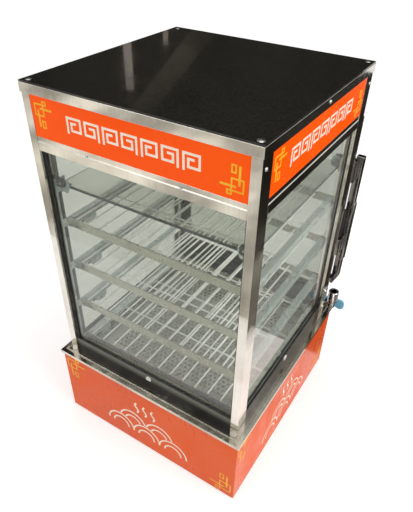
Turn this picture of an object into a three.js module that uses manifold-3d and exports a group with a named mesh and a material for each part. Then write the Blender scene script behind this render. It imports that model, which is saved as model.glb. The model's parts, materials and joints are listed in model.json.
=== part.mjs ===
// Countertop hot food display case for steamed buns, in millimetres, +Z up.
// A glazed four-post cabinet stands on a low base that holds the water tank and its heater.
// The front faces -Y, the door is at the back, and the case stands on four rubber feet.
import * as THREE from "three";
import { mergeVertices } from "three/addons/utils/BufferGeometryUtils.js";
import Module from "manifold-3d";

const wasm = await Module();
wasm.setup();

// Driving dimensions: the cabinet
const ROOF_WIDTH = 360;
const ROOF_DEPTH = 359;
const ROOF_LIP = 15.5;
const ROOF_OVERHANG = 1.5;
const ROOF_PANEL_THICKNESS = 1.8;
const CABINET_HEIGHT = 496.2;
const CABINET_SHEET = 1.2;
const CLEARANCE = 0.3;

// Driving dimensions: the roof panel's screw wells
const ROOF_PANEL_MARGIN = 0.6;
const ROOF_WELL_INSET = 9;
const ROOF_WELL_RADIUS = 5.2;

// Driving dimensions: the corner posts
const POST_FACE = 13.5;
const POST_SIDE = 24.5;
const POST_TAB_RADIUS = 5.5;
const POST_TAB_THICKNESS = 1.5;

// Driving dimensions: header rails and signs
const HEADER_BAND = 20.5;
const HEADER_RIDGE_DROP = 8;
const HEADER_RIDGE_STEP = 0.9;
const HEADER_FLANGE = 11;
const HEADER_SIDE_LIP = 6;
const REAR_HEADER_FLANGE = 15;
const SIGN_HEIGHT = 59;
const SIGN_TUCK = 5;
const SIGN_THICKNESS = 3;
const SIGN_CLEARANCE = 0.4;
const LIGHT_WINDOW_LENGTH = 50;
const LIGHT_WINDOW_HEIGHT = 36;
const LIGHT_WINDOW_BRIDGE = 10;

// Driving dimensions: sills, panes and gaskets
const SILL_HEIGHT = 25;
const SILL_RECESS = 4;
const SILL_INNER_LIP = 3;
const REAR_SILL_HEIGHT = 37;
const REAR_SILL_DEPTH = 20;
const GLASS_THICKNESS = 4;
const FRONT_GLASS_RECESS = 8;
const SIDE_GLASS_RECESS = 8;
const GASKET_WALL = 1.3;
const GASKET_COVER = 2.2;
const GROOVE_DEPTH = 3.2;

// Driving dimensions: the base
const BASE_WIDTH = 376;
const BASE_FORWARD = 13.1;
const BASE_BACKWARD = 24.3;
const BASE_HEIGHT = 153;
const BASE_SHEET = 1.5;
const BASE_FLANGE = 14;
const RIM_OVERHANG = 3.5;
const RIM_HEIGHT = 6.3;
const RIM_SHEET = 1.2;
const RIM_HEM = 9;
const RIM_CREST = 7;
const GUTTER_WIDTH = 1.6;
const GUTTER_DEPTH = 1.6;
const GUTTER_SLOPE = 1;
const RIM_LEDGE_START = 30;
const RIM_LEDGE_WIDTH = 8;
const RIM_LEDGE_DEPTH = 3.6;
const RIM_INNER_LIP = 10;
const FOOT_SHOW = 3;
const FOOT_RADIUS = 12;
const FOOT_INSET = 36;
const FOOT_CHAMFER = 1;
const VENT_ROWS = 7;
const VENT_PITCH = 18;
const VENT_LENGTH = 44;
const VENT_WIDTH = 4;
const VENT_SPREAD = 60;

// Driving dimensions: tank, heater and steam plate
const TANK_DEPTH = 84;
const TANK_SHEET = 1;
const TANK_CORNER = 10;
const HEATER_TUBE_RADIUS = 4;
const HEATER_HALF_SPAN = 34;
const HEATER_LIFT = 13;
const HEATER_FRONT_GAP = 48;
const HEATER_TAIL = 14;
const HEATER_BEND = 18.7;
const HEATER_NUT_RADIUS = 8.8;
const HEATER_NUT_THICKNESS = 5;
const STEAM_PLATE_THICKNESS = 1.2;
const STEAM_PLATE_SIDE_GAP = 5;
const STEAM_HOLE_RADIUS = 5;
const STEAM_HOLE_PITCH = 25;
const STEAM_PLATE_BORDER = 14;

// Driving dimensions: shelves and their racks
const SHELF_COUNT = 4;
const SHELF_LOWEST_TOP = 26;
const SHELF_PITCH = 84.3;
const SHELF_BAR_HEIGHT = 15;
const SHELF_BAR_THICKNESS = 2;
const SHELF_WIRE_RADIUS = 1.6;
const SHELF_WIRE_PITCH = 25.5;
const SHELF_CROSS_WIRES = 2;
const SHELF_WIRE_DROP = 3;
const SHELF_ROD_RADIUS = 2.5;
const SHELF_FRONT_GAP = 3.5;
const SHELF_END_GAP = 1;
const CHANNEL_HEIGHT = 14;
const CHANNEL_DEPTH = 10;
const CHANNEL_SHEET = 1;
const CHANNEL_DROP = 0.5;
const CHANNEL_END_GAP = 4;
const UPRIGHT_WIDTH = 4;
const UPRIGHT_TAIL = 3;
const DRIP_PLATE_DROP = 63;
const DRIP_PLATE_THICKNESS = 5;
const DRIP_HOOK_HEIGHT = 22;
const DRIP_HOOK_REACH = 20;
const DRIP_HOOK_SHEET = 2;
const DRIP_HOOK_TAPER = 5;
const DRIP_LEDGE = 12;

// Driving dimensions: the rear door
const DOOR_EDGE_GAP = 2;
const DOOR_OVERLAP = 7;
const DOOR_THICKNESS = 10;
const DOOR_STILE = 24;
const DOOR_REBATE = 8;
const DOOR_FLANGE = 4;
const DOOR_GASKET = 3.2;
const DOOR_SEAL_EDGE = 3;
const DOOR_SEAL_WIDTH = 6;
const DOOR_SEAL_LIP = 1.4;
const HINGE_KNUCKLE_RADIUS = 4.5;
const HINGE_PIN_RADIUS = 2.5;
const HINGE_PIN_CLEARANCE = 0.25;
const HINGE_HEIGHT = 50;
const HINGE_INSET = 46;
const HINGE_LEAF = 22;
const PULL_RISE = 21.5;
const PULL_LENGTH = 280.5;
const PULL_WIDTH = 14;
const PULL_THICKNESS = 13;
const PULL_STANDOFF = 15;
const PULL_OUTSET = 9;
const PULL_CUT_HEIGHT = 24;
const PULL_CUT_DEPTH = 10;
const PULL_EDGE = 1.5;
const PULL_SWELL = 2;
const PULL_SWELL_RISE = 65;
const PULL_SWELL_LENGTH = 126;
const PULL_FOOT_WIDTH = 13;
const PULL_LOW_FOOT_RISE = 14;
const PULL_LOW_FOOT = 10;
const PULL_MIDDLE_FOOT_RISE = 80.5;
const PULL_MIDDLE_FOOT = 36;
const PULL_TOP_FOOT_DROP = 4;
const PULL_TOP_FOOT = 40;
const GRIP_LENGTH = 60;
const GRIP_WIDTH = 13;
const GRIP_LAP = 4;
const GRIP_CORNER = 4;

// Driving dimensions: feed pipe, cock and its handle
const VALVE_X = 170;
const PIPE_HEIGHT = 114;
const PIPE_RADIUS = 7.5;
const PIPE_BEND = 17;
const PIPE_STUB = 14;
const PIPE_NUT_RADIUS = 11.25;
const PIPE_NUT_THICKNESS = 5;
const VALVE_STANDOFF = 15;
const VALVE_ELBOW_RADIUS = 9;
const VALVE_ELBOW_BEND = 9.5;
const VALVE_BARREL_RADIUS = 8;
const VALVE_BARREL_TAIL = 10;
const VALVE_BARREL_BEND = 12;
const VALVE_BODY_LIFT = 29;
const VALVE_BOSS_REACH = 16;
const VALVE_BOSS_RADIUS = 6.5;
const SPOUT_OFFSET = 14;
const SPOUT_NECK_RADIUS = 7.6;
const SPOUT_RADIUS = 10.5;
const SPOUT_BORE = 6;
const SPOUT_BORE_FLOOR = 13;
const SPOUT_HEAD = 26;
const SPOUT_HEIGHT = 44;
const SPOUT_RING = 2;
const SPOUT_RING_DEPTH = 1.2;
const WING_SPAN = 74;
const WING_HEIGHT = 25;
const WING_WAIST = 8;
const WING_THICKNESS = 4.5;
const WING_HUB_RADIUS = 7.5;
const WING_HUB_RISE = 3;
const VALVE_STEM_RADIUS = 3;
const VALVE_STEM_LENGTH = 7;

// Driving dimensions: controls in the rear wall of the base
const SWITCH_X = -118;
const SWITCH_WIDTH = 22;
const SWITCH_HEIGHT = 30;
const SWITCH_BEZEL = 3;
const SWITCH_DEPTH = 22;
const SWITCH_BEZEL_DEPTH = 2.4;
const SWITCH_WALL = 1.5;
const SWITCH_CAVITY_DEPTH = 7;
const ROCKER_TILT = 8;
const ROCKER_CLEARANCE = 0.4;
const THERMOSTAT_X = -62;
const THERMOSTAT_SIZE = 32;
const THERMOSTAT_DEPTH = 20;
const SPINDLE_RADIUS = 3;
const SPINDLE_REACH = 11;
const SPINDLE_HOLE_GAP = 1;
const KNOB_RADIUS = 17;
const KNOB_HEIGHT = 16;
const KNOB_SKIRT = 5;
const KNOB_GRIP_WIDTH = 8;
const KNOB_GAP = 0.8;
const KNOB_BORE_GAP = 0.25;
const PILOT_X = -90;
const PILOT_RADIUS = 5;
const PILOT_DEPTH = 10;
const PILOT_RISE = 5;
const PILOT_FLANGE = 1.5;
const CONTROL_HEIGHT = 92;
const GLAND_X = -140;
const GLAND_HEIGHT = 34;
const GLAND_RADIUS = 7;
const GLAND_BORE = 4;
const GLAND_DEPTH = 12;
const GLAND_REACH = 13;
const GLAND_FLANGE = 3;
const LOUVRE_COUNT = 7;
const LOUVRE_COLUMNS = 2;
const LOUVRE_X = 22;
const LOUVRE_BRIDGE = 12;
const LOUVRE_LENGTH = 34;
const LOUVRE_HEIGHT = 3.5;
const LOUVRE_PITCH = 10;

// Driving dimensions: the lamp behind the signs
const LAMP_RADIUS = 8;
const LAMP_LENGTH = 280;
const LAMP_SETBACK = 52;
const LAMP_LIFT = 34;
const LAMP_HOLDER_WIDTH = 10;
const LAMP_HOLDER_FOOT = 3;
const LAMP_HOLDER_FOOT_HEIGHT = 4;

// Levels and planes that follow from the sizes
const housingBottom = FOOT_SHOW;
const housingTop = housingBottom + BASE_HEIGHT;
const rimTop = housingTop + RIM_HEIGHT;
const roofTop = rimTop + CABINET_HEIGHT;
const lidTop = roofTop - ROOF_PANEL_THICKNESS - CLEARANCE;
const lipBottom = roofTop - ROOF_LIP;
const postTop = lidTop - CABINET_SHEET - CLEARANCE;
const standTop = rimTop + CLEARANCE;
const postX = ROOF_WIDTH / 2 - ROOF_OVERHANG;
const frontY = ROOF_OVERHANG;
const backY = ROOF_DEPTH - ROOF_OVERHANG;
const innerX = postX - POST_FACE;
const postFrontBack = frontY + POST_SIDE;
const postRearFront = backY - POST_SIDE;
const headerBottom = lipBottom - SIGN_HEIGHT - HEADER_BAND;
const sillTop = standTop + SILL_HEIGHT;
const rearSillTop = standTop + REAR_SILL_HEIGHT;
const baseX = BASE_WIDTH / 2;
const baseFront = -BASE_FORWARD;
const baseBack = ROOF_DEPTH + BASE_BACKWARD - ROOF_OVERHANG;
const rimX = baseX + RIM_OVERHANG;
const rimFront = baseFront - RIM_OVERHANG;
const rimBack = baseBack + RIM_OVERHANG;

// Colours and finishes
const finish = (color, roughness, metalness) =>
  new THREE.MeshStandardMaterial({ color, roughness, metalness });
const mirrorSteel = finish(0xc9c6bf, 0.08, 1);
const satinSteel = finish(0xb4b7b6, 0.35, 1);
const darkSteel = finish(0x1b1c1d, 0.15, 0.6);
const blackGloss = finish(0x0b0b0c, 0.05, 0.2);
const signOrange = finish(0xff5a00, 0.25, 0);
const baseOrange = finish(0xe1552f, 0.35, 0);
const clearGlass = new THREE.MeshStandardMaterial({
  color: 0xdfe9e6,
  roughness: 0.03,
  metalness: 0,
  transparent: true,
  opacity: 0.25,
});
const rubber = finish(0x121212, 0.7, 0);
const blackPlastic = finish(0x18181a, 0.5, 0);
const chrome = finish(0xd9d9da, 0.08, 1);
const wingBlue = finish(0x5fb6d6, 0.4, 0);
const lampWhite = finish(0xf4f4ef, 0.4, 0);
const pilotRed = finish(0xd83a26, 0.3, 0);

// A geometry as a solid for joining and cutting, and back again
function toSolid(geometry) {
  const bare = geometry.clone();
  for (const name of Object.keys(bare.attributes)) {
    if (name !== "position") bare.deleteAttribute(name);
  }
  const merged = mergeVertices(bare, 1e-4);
  return new wasm.Manifold(
    new wasm.Mesh({
      numProp: 3,
      vertProperties: merged.attributes.position.array,
      triVerts: new Uint32Array(merged.index.array),
    }),
  );
}

function toGeometry(solid) {
  const { vertProperties, triVerts } = solid.getMesh();
  const geometry = new THREE.BufferGeometry();
  geometry.setAttribute("position", new THREE.BufferAttribute(vertProperties, 3));
  geometry.setIndex(new THREE.BufferAttribute(triVerts, 1));
  const faceted = geometry.toNonIndexed();
  faceted.computeVertexNormals();
  return faceted;
}

function joined(...geometries) {
  const [first, ...rest] = geometries.map(toSolid);
  return toGeometry(rest.reduce((sum, solid) => sum.add(solid), first));
}

function cut(geometry, ...tools) {
  return toGeometry(tools.map(toSolid).reduce((left, tool) => left.subtract(tool), toSolid(geometry)));
}

// Plain shapes placed by their limits
function block([x0, x1], [y0, y1], [z0, z1]) {
  const geometry = new THREE.BoxGeometry(x1 - x0, y1 - y0, z1 - z0);
  geometry.translate((x0 + x1) / 2, (y0 + y1) / 2, (z0 + z1) / 2);
  return geometry;
}

// A right-handed set of axes for an extrusion along X, Y or Z.
// An outline drawn as (y, z) runs along X, (x, z) along Y and (x, y) along Z.
const alongX = new THREE.Matrix4().makeBasis(
  new THREE.Vector3(0, 1, 0),
  new THREE.Vector3(0, 0, 1),
  new THREE.Vector3(1, 0, 0),
);
const alongY = new THREE.Matrix4().makeBasis(
  new THREE.Vector3(1, 0, 0),
  new THREE.Vector3(0, 0, 1),
  new THREE.Vector3(0, -1, 0),
);

function shapeOf(points) {
  return new THREE.Shape(points.map(([a, b]) => new THREE.Vector2(a, b)));
}

function extrudeX(shape, [x0, x1], bevel = 0) {
  return extruded(shape, x1 - x0, bevel).applyMatrix4(alongX).translate(x0, 0, 0);
}

function extrudeY(shape, [y0, y1], bevel = 0) {
  return extruded(shape, y1 - y0, bevel).applyMatrix4(alongY).translate(0, y1, 0);
}

function extrudeZ(shape, [z0, z1], bevel = 0) {
  return extruded(shape, z1 - z0, bevel).translate(0, 0, z0);
}

function extruded(shape, length, bevel) {
  const options = { depth: length - 2 * bevel, steps: 1, curveSegments: 6 };
  if (bevel === 0) return new THREE.ExtrudeGeometry(shape, { ...options, bevelEnabled: false });
  const geometry = new THREE.ExtrudeGeometry(shape, {
    ...options,
    bevelEnabled: true,
    bevelThickness: bevel,
    bevelSize: bevel,
    bevelOffset: -bevel,
    bevelSegments: 1,
  });
  return geometry.translate(0, 0, bevel);
}

// A round bar or disc along an axis, between two places on it
function rod(axis, [from, to], radius, [a, b], sides = 16) {
  const geometry = new THREE.CylinderGeometry(radius, radius, to - from, sides);
  const middle = (from + to) / 2;
  if (axis === "x") return geometry.rotateZ(-Math.PI / 2).translate(middle, a, b);
  if (axis === "y") return geometry.translate(a, middle, b);
  return geometry.rotateX(Math.PI / 2).translate(a, b, middle);
}

// The outline of a folded sheet that follows a path of straight runs
function folded(path, thickness) {
  const side = (sign) =>
    path.map((point, i) => {
      const here = new THREE.Vector2(...point);
      const before = i > 0 ? new THREE.Vector2(...path[i - 1]) : null;
      const after = i < path.length - 1 ? new THREE.Vector2(...path[i + 1]) : null;
      const into = (before ? here.clone().sub(before) : after.clone().sub(here)).normalize();
      const out = (after ? after.clone().sub(here) : into.clone()).normalize();
      const mitre = new THREE.Vector2(-into.y - out.y, into.x + out.x).normalize();
      const stretch = mitre.x * -into.y + mitre.y * into.x;
      return here.addScaledVector(mitre, (sign * thickness) / 2 / stretch).toArray();
    });
  return shapeOf([...side(1), ...side(-1).reverse()]);
}

// A mitred frame: one closed profile carried round a rectangle.
// The profile's points are (inset from the rectangle's edge, height along the third axis).
function mitredFrame([a0, a1], [b0, b1], profile, place) {
  const corners = [
    (d) => [a0 + d, b0 + d],
    (d) => [a1 - d, b0 + d],
    (d) => [a1 - d, b1 - d],
    (d) => [a0 + d, b1 - d],
  ];
  const positions = corners.flatMap((corner) =>
    profile.flatMap(([d, h]) => {
      const [a, b] = corner(d);
      return place(a, b, h);
    }),
  );
  const count = profile.length;
  const index = [];
  for (let c = 0; c < corners.length; c++) {
    const next = (c + 1) % corners.length;
    for (let i = 0; i < count; i++) {
      const j = (i + 1) % count;
      const here = [c * count + i, c * count + j, next * count + i, next * count + j];
      index.push(here[0], here[2], here[1], here[1], here[2], here[3]);
    }
  }
  const geometry = new THREE.BufferGeometry();
  geometry.setAttribute("position", new THREE.Float32BufferAttribute(positions, 3));
  geometry.setIndex(index);
  return facingOut(geometry);
}

const lyingFlat = (a, b, h) => [a, b, h];
const facingFront = (a, b, h) => [a, h, b];
const facingSide = (a, b, h) => [h, a, b];

// A closed mesh turned so that its faces point out, from the sign of its volume
function facingOut(geometry) {
  const p = geometry.attributes.position;
  const index = geometry.index.array;
  const corner = [new THREE.Vector3(), new THREE.Vector3(), new THREE.Vector3()];
  let volume = 0;
  for (let i = 0; i < index.length; i += 3) {
    corner.forEach((v, k) => v.fromBufferAttribute(p, index[i + k]));
    volume += corner[0].dot(corner[1].cross(corner[2]));
  }
  if (volume < 0) {
    for (let i = 0; i < index.length; i += 3) {
      [index[i], index[i + 1]] = [index[i + 1], index[i]];
    }
  }
  return geometry;
}

// A tube of few sides along a line of points that turns in rounded corners
function bentRod(points, radius, bend, sides = 8, steps = 6) {
  const path = new THREE.CurvePath();
  const nodes = points.map((p) => new THREE.Vector3(...p));
  let start = nodes[0];
  for (let i = 1; i < nodes.length - 1; i++) {
    const into = nodes[i].clone().sub(nodes[i - 1]).normalize();
    const out = nodes[i + 1].clone().sub(nodes[i]).normalize();
    const entry = nodes[i].clone().addScaledVector(into, -bend);
    const leave = nodes[i].clone().addScaledVector(out, bend);
    path.add(new THREE.LineCurve3(start, entry));
    path.add(new THREE.QuadraticBezierCurve3(entry, nodes[i], leave));
    start = leave;
  }
  path.add(new THREE.LineCurve3(start, nodes[nodes.length - 1]));
  return sweptTube(path, radius, sides, steps);
}

// Rings of points carried along a path without twist, closed at both ends
function sweptTube(path, radius, sides, steps) {
  const rings = [];
  path.curves.forEach((curve, k) => {
    const straight = curve.isLineCurve3;
    const count = straight ? 1 : steps;
    for (let i = k === 0 ? 0 : 1; i <= count; i++) {
      rings.push({ at: curve.getPoint(i / count), along: curve.getTangent(i / count) });
    }
  });
  let across = new THREE.Vector3(0, 0, 1);
  if (Math.abs(rings[0].along.z) > 0.9) across = new THREE.Vector3(1, 0, 0);
  const positions = [];
  for (const { at, along } of rings) {
    across = across.addScaledVector(along, -across.dot(along)).normalize();
    const other = along.clone().cross(across);
    for (let s = 0; s < sides; s++) {
      const angle = (2 * Math.PI * s) / sides;
      const point = at
        .clone()
        .addScaledVector(across, radius * Math.cos(angle))
        .addScaledVector(other, radius * Math.sin(angle));
      positions.push(point.x, point.y, point.z);
    }
  }
  const last = rings.length - 1;
  const index = [];
  for (let r = 0; r < last; r++) {
    for (let s = 0; s < sides; s++) {
      const t = (s + 1) % sides;
      const ring = [r * sides + s, r * sides + t, (r + 1) * sides + s, (r + 1) * sides + t];
      index.push(ring[0], ring[1], ring[2], ring[1], ring[3], ring[2]);
    }
  }
  for (let s = 1; s < sides - 1; s++) {
    index.push(0, s + 1, s);
    index.push(last * sides, last * sides + s, last * sides + s + 1);
  }
  const geometry = new THREE.BufferGeometry();
  geometry.setAttribute("position", new THREE.Float32BufferAttribute(positions, 3));
  geometry.setIndex(index);
  return facingOut(geometry);
}

// The group that holds the case, with X = 0 at the cabinet's middle and Y = 0 at the roof's front edge
const cabinet = new THREE.Group();

function add(name, geometry, material) {
  const mesh = new THREE.Mesh(geometry, material);
  mesh.name = name;
  cabinet.add(mesh);
  return mesh;
}

// The right-hand piece, and its mirror image on the left
function addPair(rightName, leftName, geometry, material) {
  add(rightName, geometry, material);
  add(leftName, geometry, material).scale.x = -1;
}

// Faces of the cabinet: a profile drawn as (inset from the face, z) runs along the face
const half = CABINET_SHEET / 2;
const faces = {
  front: {
    turn: new THREE.Matrix4().makeBasis(
      new THREE.Vector3(0, 1, 0),
      new THREE.Vector3(0, 0, 1),
      new THREE.Vector3(1, 0, 0),
    ),
    origin: [0, frontY, 0],
    length: 2 * (innerX - CLEARANCE),
  },
  right: {
    turn: new THREE.Matrix4().makeBasis(
      new THREE.Vector3(-1, 0, 0),
      new THREE.Vector3(0, 0, 1),
      new THREE.Vector3(0, 1, 0),
    ),
    origin: [postX, (postFrontBack + postRearFront) / 2, 0],
    length: postRearFront - postFrontBack - 2 * CLEARANCE,
  },
  rear: {
    turn: new THREE.Matrix4().makeBasis(
      new THREE.Vector3(0, -1, 0),
      new THREE.Vector3(0, 0, 1),
      new THREE.Vector3(-1, 0, 0),
    ),
    origin: [0, backY, 0],
    length: 2 * (innerX - CLEARANCE),
  },
};

function railOn(face, shape, length = face.length) {
  return extruded(shape, length, 0)
    .translate(0, 0, -length / 2)
    .applyMatrix4(face.turn)
    .translate(...face.origin);
}

// Glazing grooves, as insets from the face
const grooveFront = (recess) => recess - GASKET_WALL - 2 * CLEARANCE;
const grooveBack = (recess) => recess + GLASS_THICKNESS + GASKET_WALL + 2 * CLEARANCE;

// Corner posts: one folded sheet each, whose inner wall carries an upright of the shelf rack
const postReturnX = postX - grooveFront(SIDE_GLASS_RECESS) + CLEARANCE;
const frontUprightStart = frontY + grooveBack(FRONT_GLASS_RECESS) + CABINET_SHEET + CLEARANCE;
const frontUprightY = [frontUprightStart, frontUprightStart + UPRIGHT_WIDTH];
const rearUprightY = [postRearFront, backY - REAR_SILL_DEPTH - half - CLEARANCE];
const frontPostPath = [
  [innerX + half, frontUprightY[1]],
  [innerX + half, frontY + half],
  [postX - half, frontY + half],
  [postX - half, postFrontBack - half],
  [postReturnX, postFrontBack - half],
];
const rearPostPath = [
  [innerX + half, postRearFront],
  [innerX + half, backY - half],
  [postX - half, backY - half],
  [postX - half, postRearFront + half],
  [postReturnX, postRearFront + half],
];
const postFootTab = extrudeZ(
  new THREE.Shape().absarc((innerX + postX) / 2, frontY, POST_TAB_RADIUS, Math.PI, 2 * Math.PI),
  [standTop, standTop + POST_TAB_THICKNESS],
);
const tabRoot = block(
  [(innerX + postX) / 2 - POST_TAB_RADIUS, (innerX + postX) / 2 + POST_TAB_RADIUS],
  [frontY - CLEARANCE, frontY + CABINET_SHEET],
  [standTop, standTop + POST_TAB_THICKNESS],
);
const postLength = [standTop, postTop];
addPair(
  "post_front_right",
  "post_front_left",
  joined(extrudeZ(folded(frontPostPath, CABINET_SHEET), postLength), postFootTab, tabRoot),
  mirrorSteel,
);
addPair(
  "post_rear_right",
  "post_rear_left",
  extrudeZ(folded(rearPostPath, CABINET_SHEET), postLength),
  mirrorSteel,
);

// Header rails: a band with a ridge under the sign, a backing with light windows, a glazing groove
const signBottom = headerBottom + HEADER_BAND;
const signBacking = SIGN_THICKNESS + 2 * SIGN_CLEARANCE + half;
const ridgeZ = signBottom - HEADER_RIDGE_DROP;

function headerPath(recess, lip) {
  const lowZ = headerBottom + half;
  const grooveZ = headerBottom + GROOVE_DEPTH + half;
  const shelfZ = signBottom - half;
  return [
    [signBacking + HEADER_FLANGE, postTop - half],
    [signBacking, postTop - half],
    [signBacking, shelfZ],
    [half + HEADER_RIDGE_STEP, shelfZ],
    [half + HEADER_RIDGE_STEP, ridgeZ + HEADER_RIDGE_STEP],
    [half, ridgeZ],
    [half, lowZ],
    [grooveFront(recess) - half, lowZ],
    [grooveFront(recess) - half, grooveZ],
    [grooveBack(recess) + half, grooveZ],
    [grooveBack(recess) + half, lowZ],
    [grooveBack(recess) + CABINET_SHEET + lip, lowZ],
  ];
}

function headerRail(face, recess, lip) {
  const rail = railOn(face, folded(headerPath(recess, lip), CABINET_SHEET));
  const spacing = LIGHT_WINDOW_LENGTH + LIGHT_WINDOW_BRIDGE;
  const count = Math.floor((face.length - LIGHT_WINDOW_BRIDGE) / spacing);
  const middle = signBottom + SIGN_HEIGHT / 2;
  const windows = [];
  for (let i = 0; i < count; i++) {
    const along = (i - (count - 1) / 2) * spacing;
    windows.push(
      block(
        [signBacking - 2 * half, signBacking + 2 * half],
        [middle - LIGHT_WINDOW_HEIGHT / 2, middle + LIGHT_WINDOW_HEIGHT / 2],
        [along - LIGHT_WINDOW_LENGTH / 2, along + LIGHT_WINDOW_LENGTH / 2],
      )
        .applyMatrix4(face.turn)
        .translate(...face.origin),
    );
  }
  return cut(rail, ...windows);
}

const frontLip = POST_SIDE - grooveBack(FRONT_GLASS_RECESS) - CABINET_SHEET;
add("header_front", headerRail(faces.front, FRONT_GLASS_RECESS, frontLip), mirrorSteel);
addPair(
  "header_right",
  "header_left",
  headerRail(faces.right, SIDE_GLASS_RECESS, HEADER_SIDE_LIP),
  mirrorSteel,
);
add(
  "header_rear",
  railOn(
    faces.rear,
    folded(
      [
        [REAR_HEADER_FLANGE, postTop - half],
        [half, postTop - half],
        [half, headerBottom + half],
        [REAR_HEADER_FLANGE, headerBottom + half],
      ],
      CABINET_SHEET,
    ),
  ),
  mirrorSteel,
);

// Sign panels: their upper edge tucks in behind the roof's lip
function signPanel(face) {
  const outline = shapeOf([
    [SIGN_CLEARANCE, signBottom + SIGN_CLEARANCE],
    [SIGN_CLEARANCE + SIGN_THICKNESS, signBottom + SIGN_CLEARANCE],
    [SIGN_CLEARANCE + SIGN_THICKNESS, signBottom + SIGN_HEIGHT + SIGN_TUCK],
    [SIGN_CLEARANCE, signBottom + SIGN_HEIGHT + SIGN_TUCK],
  ]);
  return railOn(face, outline);
}
add("sign_front", signPanel(faces.front), signOrange);
addPair("sign_right", "sign_left", signPanel(faces.right), signOrange);

// Sills: a recessed rail with a glazing groove and a raised inner lip
function sillPath(recess) {
  const floorZ = sillTop - GROOVE_DEPTH - half;
  return [
    [grooveBack(recess) + half, standTop + half],
    [SILL_RECESS + half, standTop + half],
    [SILL_RECESS + half, sillTop - half],
    [grooveFront(recess) - half, sillTop - half],
    [grooveFront(recess) - half, floorZ],
    [grooveBack(recess) + half, floorZ],
    [grooveBack(recess) + half, sillTop + SILL_INNER_LIP],
  ];
}
add("sill_front", railOn(faces.front, folded(sillPath(FRONT_GLASS_RECESS), CABINET_SHEET)), darkSteel);
addPair(
  "sill_right",
  "sill_left",
  railOn(faces.right, folded(sillPath(SIDE_GLASS_RECESS), CABINET_SHEET)),
  darkSteel,
);
add(
  "sill_rear",
  railOn(
    faces.rear,
    folded(
      [
        [REAR_SILL_DEPTH, standTop + half],
        [half, standTop + half],
        [half, rearSillTop - half],
        [REAR_SILL_DEPTH, rearSillTop - half],
        [REAR_SILL_DEPTH, rearSillTop - GROOVE_DEPTH - 2 * half],
      ],
      CABINET_SHEET,
    ),
  ),
  darkSteel,
);

// Panes with U-section gaskets round their edges
const paneLow = sillTop - GROOVE_DEPTH + CLEARANCE;
const paneHigh = headerBottom + GROOVE_DEPTH - CLEARANCE;
const glassInset = GASKET_WALL + CLEARANCE;

function gasketProfile(outerFace, sign) {
  const at = (depth) => outerFace + sign * depth;
  const cover = glassInset + GASKET_COVER;
  return [
    [0, at(-glassInset)],
    [cover, at(-glassInset)],
    [cover, at(-CLEARANCE)],
    [GASKET_WALL, at(-CLEARANCE)],
    [GASKET_WALL, at(GLASS_THICKNESS + CLEARANCE)],
    [cover, at(GLASS_THICKNESS + CLEARANCE)],
    [cover, at(GLASS_THICKNESS + glassInset)],
    [0, at(GLASS_THICKNESS + glassInset)],
  ];
}

const frontGlassY = frontY + FRONT_GLASS_RECESS;
const frontPaneX = [-(innerX - CLEARANCE), innerX - CLEARANCE];
const sideGlassX = postX - SIDE_GLASS_RECESS;
const sidePaneY = [postFrontBack + CLEARANCE, postRearFront - CLEARANCE];
const inset = ([low, high], by) => [low + by, high - by];

add(
  "front_glass",
  block(
    inset(frontPaneX, glassInset),
    [frontGlassY, frontGlassY + GLASS_THICKNESS],
    inset([paneLow, paneHigh], glassInset),
  ),
  clearGlass,
);
add(
  "front_gasket",
  mitredFrame(frontPaneX, [paneLow, paneHigh], gasketProfile(frontGlassY, 1), facingFront),
  rubber,
);
addPair(
  "right_glass",
  "left_glass",
  block(
    [sideGlassX - GLASS_THICKNESS, sideGlassX],
    inset(sidePaneY, glassInset),
    inset([paneLow, paneHigh], glassInset),
  ),
  clearGlass,
);
addPair(
  "right_gasket",
  "left_gasket",
  mitredFrame(sidePaneY, [paneLow, paneHigh], gasketProfile(sideGlassX, -1), facingSide),
  rubber,
);

// Roof: a mirror tray with its lip turned down, and the dark panel laid on it with a well for each screw
add(
  "roof_lid",
  cut(
    block([-ROOF_WIDTH / 2, ROOF_WIDTH / 2], [0, ROOF_DEPTH], [lipBottom, lidTop]),
    block(
      inset([-ROOF_WIDTH / 2, ROOF_WIDTH / 2], CABINET_SHEET),
      inset([0, ROOF_DEPTH], CABINET_SHEET),
      [lipBottom - 1, lidTop - CABINET_SHEET],
    ),
  ),
  mirrorSteel,
);
const panelX = inset([-ROOF_WIDTH / 2, ROOF_WIDTH / 2], ROOF_PANEL_MARGIN);
const panelY = inset([0, ROOF_DEPTH], ROOF_PANEL_MARGIN);
const screwWells = inset(panelX, ROOF_WELL_INSET).flatMap((x) =>
  inset(panelY, ROOF_WELL_INSET).map((y) => rod("z", [lidTop, roofTop + 1], ROOF_WELL_RADIUS, [x, y], 24)),
);
add("roof_panel", cut(block(panelX, panelY, [lidTop + CLEARANCE, roofTop]), ...screwWells), blackGloss);

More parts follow.
